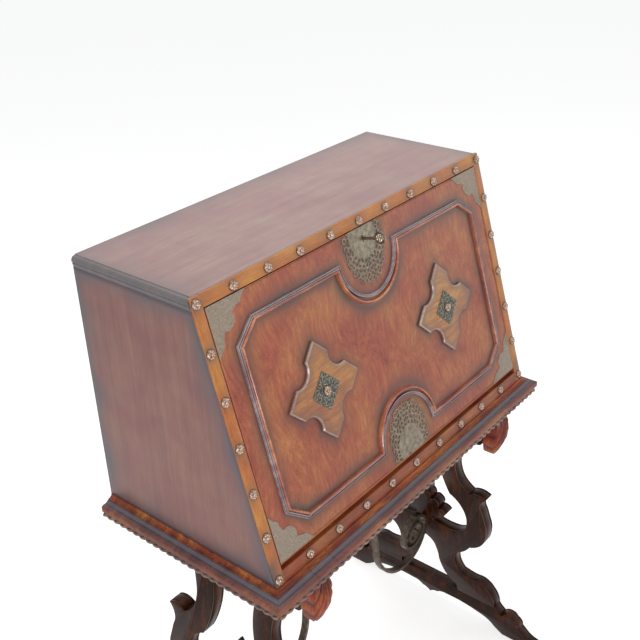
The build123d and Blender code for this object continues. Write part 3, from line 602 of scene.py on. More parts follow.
def dirt_and_shade_near(
    piece: Piece,
    lines: Runs,
    reach: float,
    strength: float = 1.0,
    also: Callable[[Vector], float] = lambda at: 0.0,
) -> None:
    """Give a piece dirt and painted shade that gather along lines and fade away from them.

    Args:
        piece: the object, with its place in its mesh.
        lines: the two ends of each straight run that dirt and painted shade gather along.
        reach: how far the dirt and painted shade reach, in millimetres.
        strength: the patina on a line itself.
        also: the least patina at a point, whatever its distance.
    """
    pitch = 3 * MM
    points = []
    for start, end in lines:
        count = max(1, int((end - start).length / pitch))
        points += [start.lerp(end, i / count) for i in range(count + 1)]
    tree = kdtree.KDTree(len(points))
    for index, point in enumerate(points):
        tree.insert(point, index)
    tree.balance()

    def gathered(point: Vector) -> float:
        """Dirt and painted shade at one point, patchy over a hand's width and ragged at its edge."""
        ragged = 1 + 0.5 * noise.noise(point * 22)
        patchy = 1 + 0.6 * noise.noise(point * 13)
        near = strength * patchy * math.exp(-((tree.find(point)[2] / (reach * MM * ragged)) ** 1.3))
        return max(also(point), near)

    shade(piece, gathered)


def rim(points: list[Vector], place: Matrix | None = None) -> Runs:
    """The straight runs round a closed outline, laid by a matrix where there is one."""
    laid = [place @ point for point in points] if place else points
    return list(zip(laid, laid[1:] + laid[:1]))


# ---- places taken from the frame
@dataclass(frozen=True)
class Lay:
    """The main places of the desk, read from the frame."""

    half: float
    foot_y: float
    foot_z: float
    head_z: float
    lean: float
    back_y: float

    @classmethod
    def from_frame(cls) -> "Lay":
        """Read the places from the CAD nodes' boxes."""
        low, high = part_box("edge_strip_left")
        top_low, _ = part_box("edge_strip_top")
        lean = (top_low.y - low.y) / (top_low.z - low.z)
        return cls(-low.x, low.y, low.z, high.z, lean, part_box("case_back")[1].y)

    @property
    def angle(self) -> float:
        """Lean of the front from upright."""
        return math.atan(self.lean)

    @property
    def length(self) -> float:
        """Length of the front up its slope."""
        return (self.head_z - self.foot_z) * math.hypot(1, self.lean)

    @property
    def slope(self) -> Matrix:
        """The front's own frame: x to the right, y up the slope, z out of the front."""
        c, s = math.cos(self.angle), math.sin(self.angle)
        return Matrix(((1, 0, 0, 0), (0, s, -c, self.foot_y), (0, c, s, self.foot_z), (0, 0, 0, 1)))

    def on_slope(self, x: float, y: float, out: float = 0.0) -> Vector:
        """A point of the front, from millimetres across, up the slope and out of it."""
        return self.slope @ mm(x, y, out)

    def place(self, out: float, x: float = 0.0, y: float = 0.0) -> Matrix:
        """A frame on the slope, moved across, up and out by millimetres."""
        return self.slope @ shift(x, y, out)


@dataclass
class Part:
    """A sub-assembly, with what all of them are given."""

    lay: Lay
    finishes: Finishes


# ---- the case
@dataclass
class Case(Part):
    """The case's boards, with a moulded top and veneer on its sides."""

    veneer_mm: float = 0.6
    proud_mm: float = 0.1
    step_mm: float = 8.0
    strip_mm: float = 5.0
    top_mm: float = 20.0
    overrun_mm: float = 20.0  # how far the top runs on before it is cut to the slope
    throw_mm: float = 12.0
    spare_mm: float = 1.5  # room round the lock's bolt
    # below this depth the top's moulded ends are painted in shade, out of the level face's painted sheen
    painted_shade_below_mm: float = 0.6  # the top's moulding is dark below this much of its face

    def dress(self, nodes: dict[str, Piece]) -> None:
        """Give the CAD's own boards and ironwork their finishes."""
        own = self.finishes
        for names, finish in (
            ("case_side_left case_side_right case_back", own.side),
            # the fall panel shows in the gap round its veneer in this darker finish, as a painted line of
            # shade
            ("case_bottom fall_panel", own.foot_lipping),
            ("loper_guides fall_stops drawer_left drawer_centre drawer_right", own.interior),
            ("gallery_shelf_lower gallery_shelf_upper gallery_partitions gallery_valances", own.interior),
            ("loper_bar_left loper_bar_right base_back_rail", own.moulding),
            ("drawer_knob_left drawer_knob_centre drawer_knob_right", own.trestle),
            ("left_top_rail right_top_rail", own.trestle),
            ("strike_plate lock_case lock_bolt", own.brass),
            ("key", own.key),
            ("iron_stretcher_left iron_stretcher_right stretcher_nails pivot_pins", own.iron),
        ):
            for name in names.split():
                nodes[name].data.materials.clear()
                nodes[name].data.materials.append(finish.material())

    def end_section(self) -> Pairs:
        """The moulded end of the top: inward from its reach and down from its face, in millimetres."""
        line = [(8.6, 0.0), (8.2, 1.3), (5.4, 1.7), (2.8, 3.0), (1.0, 5.2), (0.3, 8.0), (0.3, 10.4)]
        return line + [(2.2, 11.2), (1.9, 12.4), (0.9, 13.6), (1.1, 15.2), (2.2, 16.2), (2.2, self.top_mm)]

    def top_board(self) -> None:
        """Work the top with a moulding on both ends, its front cut to the slope."""
        low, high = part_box("case_top")
        right = [(high.x - run * MM, high.z - drop * MM) for run, drop in self.end_section()]
        shape = bmesh.new()
        flat_face(shape, [Vector((x, high.y, z)) for x, z in right + [(-x, z) for x, z in reversed(right)]])
        pull(shape, shape.faces[:], Vector((0, low.y - high.y - self.overrun_mm * MM, 0)))
        cut(shape, self.lay.on_slope(0, 0, -self.strip_mm), self.lay.slope.col[2].to_3d(), cap=True)
        self.mortise(shape, low.z)
        score(shape, Vector((low.x, 0, 0)), mm(self.step_mm, 0), high.x - low.x)
        score(shape, Vector((0, low.y, 0)), mm(0, self.step_mm), high.y - low.y)
        finish = self.finishes.top
        piece = finished("moulded_top", outward(shape), finish, "case", ("case_top",), 25)
        back = [Vector((x, high.y, high.z)) for x in (low.x, high.x)]
        front = [Vector((x, low.y, high.z)) for x in (low.x, high.x)]
        below = high.z - self.painted_shade_below_mm * MM
        lines = [*zip(back, front), tuple(back)]
        # the level face greys towards its back and ends; below it, the moulded ends are painted in shade
        dirt_and_shade_near(piece, lines, reach=26, strength=0.62, also=lambda at: 0.9 if at.z < below else 0.0)

    def mortise(self, shape: Shape, under: float) -> None:
        """Sink the lock bolt's mortise into the top's underside.

        Args:
            shape: the top.
            under: its underside's level, in metres.
        """
        low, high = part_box("lock_bolt")
        spare, throw = self.spare_mm * MM, self.throw_mm * MM
        front = low.y + (under - low.z) * self.lay.lean - spare
        back = high.y + throw * self.lay.lean + spare
        side = high.x + spare
        for x in (side, -side):
            cut(shape, Vector((x, 0, 0)), Vector((1, 0, 0)))
        for y in (front, back):
            cut(shape, Vector((0, y, 0)), Vector((0, 1, 0)))
        floor = []
        for face in shape.faces:
            middle = face.calc_center_median()
            if abs(middle.x) < side and front < middle.y < back and middle.z < under + spare:
                floor.append(face)
        pull(shape, floor, Vector((0, 0, high.z + throw + spare - under)))
        ops.delete(shape, geom=[face for face in floor if face.is_valid], context="FACES")

    def build(self) -> None:
        """Work the top and lay the sides' veneers."""
        self.top_board()
        lay = self.lay
        for name, side in SIDES:
            x = side * (lay.half + self.proud_mm * MM)
            low, high = (corner.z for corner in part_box(f"case_side_{name}"))
            foot = lay.foot_y + self.strip_mm * MM / math.cos(lay.angle)
            top = foot + (high - low) * lay.lean
            line = ((lay.back_y, low), (foot, low), (top, high), (lay.back_y, high))
            corners = [Vector((x, y, z)) for y, z in line]
            shape = sheet(corners, self.step_mm)
            if side > 0:
                ops.reverse_faces(shape, faces=shape.faces)
            piece = finished(f"side_veneer_{name}", shape, self.finishes.side, "case")
            dirt_and_shade_near(piece, rim(corners), reach=24, strength=0.85)
            thicken(piece, self.veneer_mm)


@dataclass
class Lippings(Part):
    """Strips of beech on the front edges, and the rosette nails along them."""

    nail_radius: float = 8.5
    nail_side: float = 8.0
    nail_end: float = 11.5
    nail_height: float = 6.4
    # the lower share of each head, near the wood, is painted in shade
    nail_shade_share: float = 0.55  # share of its height that is dark
    nail_turn: float = 0.37  # radians that each nail is turned past the last
    climb: float = 0.08  # share of the slope that dirt climbs from the foot
    across: int = 10
    up: int = 6
    petals: int = 8
    step_mm: float = 5.0

    def nail_places(self) -> Pairs:
        """Centres of the nails on the slope, in millimetres across and up."""
        reach = self.lay.half / MM - self.nail_side
        top = self.lay.length / MM - self.nail_end
        columns = [-reach + 2 * reach * i / self.across for i in range(self.across + 1)]
        rows = [self.nail_end + (top - self.nail_end) * i / self.up for i in range(self.up + 1)]
        ends = [(x, y) for x in columns for y in (rows[0], rows[-1])]
        return ends + [(x, y) for x in (columns[0], columns[-1]) for y in rows[1:-1]]

    def rosette(self) -> Mesh:
        """One nail head: a dished rim, a ring of petals and a berry in the middle."""
        shape = bmesh.new()
        radius = self.nail_radius * MM
        ops.create_circle(shape, cap_ends=True, radius=radius, segments=self.petals * 2)
        shape.faces.ensure_lookup_table()
        stepped_edge(shape, shape.faces[0], [(0.05, 1.3), (0.9, 1.1), (1.6, 0.9), (2.4, 0.4)])
        for i in range(self.petals):
            spot = turn(2 * math.pi * i / self.petals) @ Matrix.Translation((0.6 * radius, 0, 2.9 * MM))
            petal = spot @ Matrix.Diagonal((0.33 * radius, 0.22 * radius, 1.9 * MM, 1))
            ops.create_icosphere(shape, subdivisions=1, radius=1.0, matrix=petal)
        berry = shift(0, 0, 3.8) @ Matrix.Diagonal((0.35 * radius, 0.35 * radius, 2.6 * MM, 1))
        ops.create_icosphere(shape, subdivisions=2, radius=1.0, matrix=berry)
        return as_pattern(shape)

    def drive(self, name: str, places: list[Matrix], body: str, node: str, seat: float) -> None:
        """Drive a nail head at each place, with painted shade towards its foot.

        Args:
            name: the new piece's name.
            places: a frame for each nail, z out of the wood.
            body: the body that the nails hold to.
            node: the CAD node that they stand for.
            seat: how far the wood lies out of the slope, in millimetres.
        """
        nails = bmesh.new()
        pattern = self.rosette()
        for index, place in enumerate(places):
            stamp(nails, pattern, place @ turn(self.nail_turn * index))
        piece = finished(name, nails, self.finishes.nail, body, (node,), 50)
        inward = self.lay.slope.inverted()
        dark = self.nail_shade_share * self.nail_height
        # painted shade, deepest where the head meets the wood
        shade(piece, lambda at: max(0.0, 1.0 - ((inward @ at).z / MM - seat) / dark) ** 0.8)

    def build(self, nodes: dict[str, Piece]) -> None:
        """Round the strips' edges, cut them across finely and drive the nails."""
        lay, honey = self.lay, self.finishes.lipping
        upright = replace(honey, name="honey_beech_upright", grain=Grain.UPRIGHT)
        spots = self.nail_places()
        stains = [(lay.on_slope(x, y), lay.on_slope(x, y) + Vector((MM, 0, 0))) for x, y in spots]
        foot, half = lay.length / MM * self.climb, lay.half / MM
        ends = [(lay.on_slope(x, 0), lay.on_slope(x, foot)) for x in (-half, half)]
        for name, wood, axis in (
            ("top", honey, mm(self.step_mm, 0)),
            ("bottom", self.finishes.foot_lipping, mm(self.step_mm, 0)),
            ("left", upright, mm(0, 0, self.step_mm)),
            ("right", upright, mm(0, 0, self.step_mm)),
        ):
            node = f"edge_strip_{name}"
            shape = merged_copy(nodes[node])
            ease(shape, shape.edges, 1.0, clamp=False)
            low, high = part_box(node)
            score(shape, low, axis, (high - low).dot(axis.normalized()))
            piece = finished(f"lipping_{name}", shape, wood, "case", (node,))
            dirt_and_shade_near(piece, stains + ends, reach=12, strength=0.9)
        self.drive("rosette_nail_heads", [lay.place(0, x, y) for x, y in spots], "case", "rosette_nails", 0.0)


# ---- the fall
def scroll(
    radius: float, half_width: float, half_height: float, sweep: float, steps: int = 11
) -> Mesh:
    """A C-scroll: a flattened wire bent most of the way round, its ends closed.

    Args:
        radius: of the scroll's middle line, in millimetres.
        half_width: of the wire across the plate.
        half_height: of the wire out of the plate.
        sweep: how far round it goes, in degrees.
        steps: the pieces of its bend.

    Returns:
        The scroll's mesh.
    """
    shape = bmesh.new()
    ops.create_circle(shape, cap_ends=True, radius=MM, segments=6)
    wire = Matrix.Diagonal((half_width, 1, half_height, 1)) @ Matrix.Rotation(math.pi / 2, 4, "X")
    put(shape, shift(radius, 0) @ wire)
    ops.spin(
        shape,
        geom=whole(shape),
        cent=(0, 0, 0),
        axis=(0, 0, 1),
        angle=math.radians(sweep),
        steps=steps,
        use_duplicate=False,
    )
    return as_pattern(outward(shape))


@dataclass
class Fall(Part):
    """The fall's front: figured field, applied band, plaques, plates and escutcheons."""

    face: float = -1.0  # millimetres out of the slope
    head: float = 463.98
    foot: float = 32.9  # above the lowest lipping, which the fall's thinned foot tucks behind
    half: float = 368.5
    gap: float = 1.3
    veneer_lift: float = 0.15
    veneer_pitch: float = 3.5
    veneer_mm: float = 0.5
    band_half: float = 326.0
    band_top: float = 415.98
    band_foot: float = 73.0
    band_width: float = 12.0
    corner: tuple[float, float] = (40.0, 32.0)
    lobe: float = 81.0
    plaque_x: float = 181.0
    plaque_y: float = 244.5
    plaque_reach: float = 88.0
    plaque_pitch: float = 4.0
    plaque_deep: float = 6.6
    plate_top: float = 7.4  # millimetres out, face of the plaques' plates
    plate_deep: float = 1.4
    plate_width: float = 52.0
    plate_height: float = 90.0
    plain_radius: float = 35.0
    plain_drop: float = 20.0
    corner_leg: float = 84.0
    key_y: float = 442.98
    bow_near: float = 27.0  # how far out of the slope the key's bow starts
    bow_reach: float = 11.0

    def band_line(self, grow: float) -> list[Vector]:
        """Outline of the band, grown outward, on the slope in metres."""
        wide, high, low = self.band_half + grow, self.band_top + grow, self.band_foot - grow
        lobe, count = self.lobe - grow, 36
        cut_x, cut_y = wide - self.corner[0] - 0.35 * grow, self.corner[1] + 0.35 * grow
        line = [(-cut_x, low), *arc(Vector((0, low, 0)), lobe, 180, 0, count), (cut_x, low)]
        line += [(wide, low + cut_y), (wide, high - cut_y)]
        line += [(cut_x, high), *arc(Vector((0, high, 0)), lobe, 0, -180, count), (-cut_x, high)]
        line += [(-wide, high - cut_y), (-wide, low + cut_y)]
        return [Vector((point[0], point[1], 0)) * MM for point in line]

    def plaque_line(self) -> list[Vector]:
        """Outline of a plaque about its own middle, on the slope in metres."""
        reach = self.plaque_reach
        inner, outer, dip = 0.31 * reach, 0.69 * reach, 0.385 * reach
        # the hollow is an arc through its two ends and its deepest point
        ends = Vector((inner, outer, 0)), Vector((outer, inner, 0))
        deepest = Vector((dip, dip, 0))
        chord = (ends[1] - ends[0]).length / 2
        depth = ((ends[0] + ends[1]) / 2 - deepest).length
        radius = (chord**2 + depth**2) / (2 * depth)
        spread = math.degrees(math.asin(chord / radius))
        centre = deepest + Vector((1, 1, 0)).normalized() * radius
        hollow = arc(centre, radius, 225 + spread, 225 - spread, 14)
        # walked from the right corner round to the top one
        if (hollow[0] - ends[1]).length > (hollow[-1] - ends[1]).length:
            hollow.reverse()
        return quartered([Vector((reach, 0, 0)), *hollow])

    def build(self) -> None:
        """Make every piece of the fall's face."""
        self.field()
        self.band()
        self.plaques()
        self.plaque_plates()
        self.corner_plates()
        self.escutcheon(1)
        self.escutcheon(-1)
        self.key_bow()

    def at_plaque(self, out: float, side: int) -> Matrix:
        """A frame at the middle of one plaque, out of the slope by millimetres."""
        return self.lay.place(out, side * self.plaque_x, self.plaque_y)

    def field(self) -> None:
        """Lay the field's veneer, with grime and painted shade along the band and the plaques, and painted
        shade under the plates.
        """
        lift = self.face + self.veneer_lift
        right, top, foot = self.half - self.gap, self.head - self.gap, self.foot + self.gap
        line = ((-right, foot), (right, foot), (right, top), (-right, top))
        corners = [self.lay.on_slope(x, y, lift) for x, y in line]
        shape = sheet(corners, self.veneer_pitch)
        piece = finished("field_veneer", shape, self.finishes.field, "fall")
        lines = []
        for grow in (self.band_width / 2, -self.band_width / 2):
            lines += rim(self.band_line(grow), self.lay.place(lift))
        for side in (-1, 1):
            lines += rim(self.plaque_line(), self.at_plaque(lift, side))
        # rows across the ground under the fretted plates, painted in shade
        rows = 8
        for end, way in ((self.head, -1), (self.foot, 1)):
            for row in range(1, rows):
                y = end + way * row * self.plate_height / rows
                reach = self.plate_width * math.sqrt(1 - (row / (rows + 0.5)) ** 2)
                lines.append((self.lay.on_slope(-reach, y, lift), self.lay.on_slope(reach, y, lift)))
        dirt_and_shade_near(piece, lines, reach=12, strength=0.8)
        thicken(piece, self.veneer_mm)

    def band(self) -> None:
        """Work the band in two runs: a fillet with a groove, and a bead within it, painted in shade in the
        groove and along the bead's inner foot.
        """
        outer = self.band_width / 2
        fillet = [(TIP, 3.6), (0.5, 0.9), (0.8, 0.2), (0.4, -0.9), (0.3, -1.2), (1.2, 0.0), (0.4, 1.4)]
        fillet += [(1.6, 0.4), (0.3, -0.6)]
        inset = sum(run for run, _ in fillet)
        bead = [(TIP, 4.2), (0.3, 1.2), (0.7, 1.2), (1.0, 0.7), (0.9, 0.0), (0.9, -0.8), (0.6, -1.2)]
        bead += [(0.3, -1.0), (1.5, -3.4), (0.1, -1.6)]
        for name, grow, steps, finish, nodes, groove, reach in (
            ("band_fillet", outer, fillet, self.finishes.fillet, (), outer - 2.6, 1.3),
            ("band_bead", outer - inset, bead, self.finishes.bead, ("fall_moulding",), -outer + 0.9, 2.0),
        ):
            shape, field = worked_face(self.band_line(grow), steps)
            shape.faces.remove(field)
            put(shape, self.lay.place(self.face))
            piece = finished(name, shape, finish, "fall", nodes, 40)
            # painted shade along the fillet's groove and along the bead's inner foot
            dirt_and_shade_near(piece, rim(self.band_line(groove), self.lay.place(self.face + 2.8)), reach=reach)

    def plaques(self) -> None:
        """Make the two hollow-sided plaques."""
        reach = self.plaque_reach
        for name, side in SIDES:
            rise, top = worked_face(self.plaque_line(), [(TIP, 4.2), (1.5, 1.8), (0.9, 0.6)])
            outline = [vertex.co.copy() for vertex in top.verts]
            rise.faces.remove(top)
            shape, _ = worked_face(outline, [(0.7, 0.2), (0.9, 0.1)])
            for axis in (Vector((1, 0, 0)), Vector((0, 1, 0))):
                score(shape, -reach * MM * axis, self.plaque_pitch * MM * axis, 2 * reach * MM)
            place = self.at_plaque(self.face, side)
            put(shape, place)
            put(rise, place)
            # the raised edge is painted pale as a highlight, darker at its foot with painted shade and dirt
            edge = finished(f"plaque_edge_highlight_{name}", rise, self.finishes.plaque_edge_highlight, "fall", (), 30)
            dirt_and_shade_near(edge, rim(self.plaque_line(), place), reach=1.6)
            node = (f"plaque_{name}",)
            piece = finished(f"golden_plaque_{name}", shape, self.finishes.plaque, "fall", node, 30)
            inner = [point * 0.95 for point in self.plaque_line()]
            high = self.at_plaque(self.face + self.plaque_deep, side)
            dirt_and_shade_near(piece, rim(inner, high), reach=10, strength=0.62)

    def plaque_plates(self) -> None:
        """Set a fretted plate and a nail on each plaque."""
        plates = bmesh.new()
        loops = scroll(3.3, 1.15, 0.8, 290)
        seat = self.plate_top - self.plate_deep
        pitch, reach, square, teeth = 9.6, 2, 25.5, 6
        for side in (-1, 1):
            place = self.at_plaque(seat, side) @ turn(math.pi / 4)
            base, _ = worked_face(self.toothed_line(square, teeth), [(TIP, 0.7), (0.6, 0.5), (1.2, -0.5)])
            stamp(plates, as_pattern(base), place)
            for i in range(-reach, reach + 1):
                for j in range(-reach, reach + 1):
                    stamp(plates, loops, place @ shift(i * pitch, j * pitch, 0.9) @ turn(1.1 * (i * 5 + j)))
        finish = self.finishes.verdigris
        piece = finished("fretted_plaque_plates", plates, finish, "fall", ("plaque_plates",))
        self.hollow(piece, seat + 0.4)
        nails = Lippings(self.lay, self.finishes)
        frames = [self.at_plaque(self.plate_top, side) for side in (-1, 1)]
        nails.drive("plaque_nail_heads", frames, "fall", "plaque_nails", self.plate_top)

    def hollow(self, piece: Piece, low: float) -> None:
        """Darken a plate's ground, from one level out of the slope and a millimetre above it."""
        inward = self.lay.slope.inverted()
        shade(piece, lambda at: min(1.0, max(0.0, 1 - ((inward @ at).z / MM - low))))

    def toothed_line(self, reach: float, teeth: int) -> list[Vector]:
        """A square's outline with small teeth along its sides, about its own middle."""
        pitch, tooth = 2 * reach / teeth, 1.5
        side = []
        for i in range(teeth):
            side.append(Vector((reach - tooth, -reach + pitch * i, 0)))
            side.append(Vector((reach, -reach + pitch * (i + 0.5), 0)))
        side[0] = Vector((reach - tooth, -reach + tooth, 0))
        return quartered(side)

    def corner_line(self) -> list[Vector]:
        """Outline of a corner plate, from its right angle, in metres, across and up."""
        # the long side goes from one leg's end to the other's in a cusp, a pointed lobe and a cusp
        half = [(1.0, 0.0), (0.92, 0.05), (0.85, 0.13), (0.78, 0.2), (0.72, 0.2), (0.63, 0.24), (0.56, 0.28)]
        half += [(0.58, 0.36), (0.57, 0.42), (0.54, 0.48)]
        steps = half + [(b, a) for a, b in reversed(half)]
        return [Vector((0, 0, 0))] + [Vector((a, b, 0)) * self.corner_leg * MM for a, b in steps]

    def corner_plates(self) -> None:
        """Make the four engraved corner plates."""
        plates = bmesh.new()
        for sx in (-1, 1):
            for sy, y in ((-1, self.foot), (1, self.head)):
                base, _ = worked_face(self.corner_line(), [(TIP, 0.9), (0.4, 0.5), (0.8, 0.1), (0.7, -0.35)])
                put(base, Matrix.Diagonal((-sx, -sy, 1, 1)))
                if sx != sy:
                    ops.reverse_faces(base, faces=base.faces)
                stamp(plates, as_pattern(base), self.lay.place(self.face, sx * (self.half - 0.5), y))
        finish = self.finishes.engraved
        finished("engraved_corner_plates", plates, finish, "fall", ("corner_plates",))

    def escutcheon(self, up: int) -> None:
        """Make the fretted plate at the head of the fall, or its twin at the foot.

        Args:
            up: 1 for the plate at the head, which has the keyhole, and -1 for the other.
        """
        shape = bmesh.new()
        plain, drop = self.plain_radius, self.plain_drop
        rounded = arc(Vector((0, -drop, 0)), plain, 0, -180, 24)
        line = [Vector((plain, 0, 0)), *rounded, Vector((-plain, 0, 0))]
        steps = [(TIP, 0.9), (0.5, 0.4), (1.0, 0.1), (0.4, -0.3)]
        base, _ = worked_face([point * MM for point in reversed(line)], steps)
        stamp(shape, as_pattern(base), Matrix())
        # each ring of scrolls reaches less far round, which brings the plate to its point
        loops, lifts = (scroll(4.3, 1.6, 0.9, 300), scroll(2.6, 1.0, 0.75, 270)), (0.48, 0.45)
        inset, ring_pitch, pitch = 4.2, 8.5, 9.4
        reaches = (90, 84, 55, 37, 20) if up > 0 else (90, 84, 62, 42, 22)
        for ring, reach in enumerate(reaches):
            radius = plain + inset + ring * ring_pitch
            count = max(1, round(math.radians(2 * reach) * radius / pitch))
            # a large scroll, and a small one farther out between it and the next
            for step in range(2 * count + 1):
                i, odd = divmod(step, 2)
                base, angle = (math.radians(-90 - reach + 2 * reach * (i + k) / count) for k in (0, odd / 2))
                far = radius + odd * inset
                spot = shift(far * math.cos(angle), far * math.sin(angle) - drop, lifts[odd])
                stamp(shape, loops[odd], spot @ turn(base + 2.1 * i + 1.3 * ring))
        for side in (-1, 1):
            for x, y in ((plain + 4.2, -12.0), (plain + 5.6, -5.6), (plain + 12.4, -10.4)):
                stamp(shape, loops[0], shift(side * x, y, lifts[0]) @ turn(side * (x + y)))
        name, node, edge, flip = (
            ("fretted_escutcheon", "escutcheon", self.head, Matrix.Identity(4))
            if up > 0
            else ("fretted_foot_plate", "lower_plate", self.foot, turn(math.pi))
        )
        put(shape, self.lay.place(self.face, 0, edge) @ flip)
        self.hollow(finished(name, shape, self.finishes.bronze, "fall", (node,)), self.face + 0.1)
        if up > 0:
            # a black sheet painted as the keyhole's shade, in place of a hole
            line = arc(Vector((0, 3.2, 0)), 2.3, -50, 230, 12)
            line += [Vector((-1.1, -6.5, 0)), Vector((1.1, -6.5, 0))]
            hole, _ = worked_face([point * MM for point in line], [(TIP, 0.2)])
            put(hole, self.lay.place(self.face + 1.0, 0, self.key_y))
            finished("keyhole_shadow", hole, self.finishes.void, "fall")

    def key_bow(self) -> None:
        """Fret the key's bow with small scrolls inside its oval, and knop its shank."""
        shape = bmesh.new()
        # the bow stands edge on to the plate: its plane has the slope's up and out in it
        edge_on = Matrix(((0, 0, 1, 0), (1, 0, 0, 0), (0, 1, 0, 0), (0, 0, 0, 1)))
        stand = self.lay.place(0, 0, self.key_y) @ edge_on
        middle = self.bow_near + self.bow_reach
        curl, round_in = scroll(2.5, 0.8, 1.3, 300), 5.0
        for i in range(6):
            angle = math.pi * i / 3
            spot = shift(round_in * math.cos(angle), middle + round_in * math.sin(angle))
            stamp(shape, curl, stand @ spot @ turn(angle + 2.6))
        ring = scroll(self.bow_reach - 1.5, 1.7, 1.7, 358, 28)
        stamp(shape, ring, stand @ shift(0, middle))
        for out, radius in ((self.bow_near - 1.5, 3.4), (self.bow_near - 4.0, 2.8)):
            flattened = Matrix.Diagonal((radius * MM, radius * MM, 1.1 * MM, 1))
            knop = self.lay.place(out, 0, self.key_y) @ flattened
            ops.create_icosphere(shape, subdivisions=2, radius=1.0, matrix=knop)
        finished("fretted_key_bow", shape, self.finishes.brass, "key", (), 45)


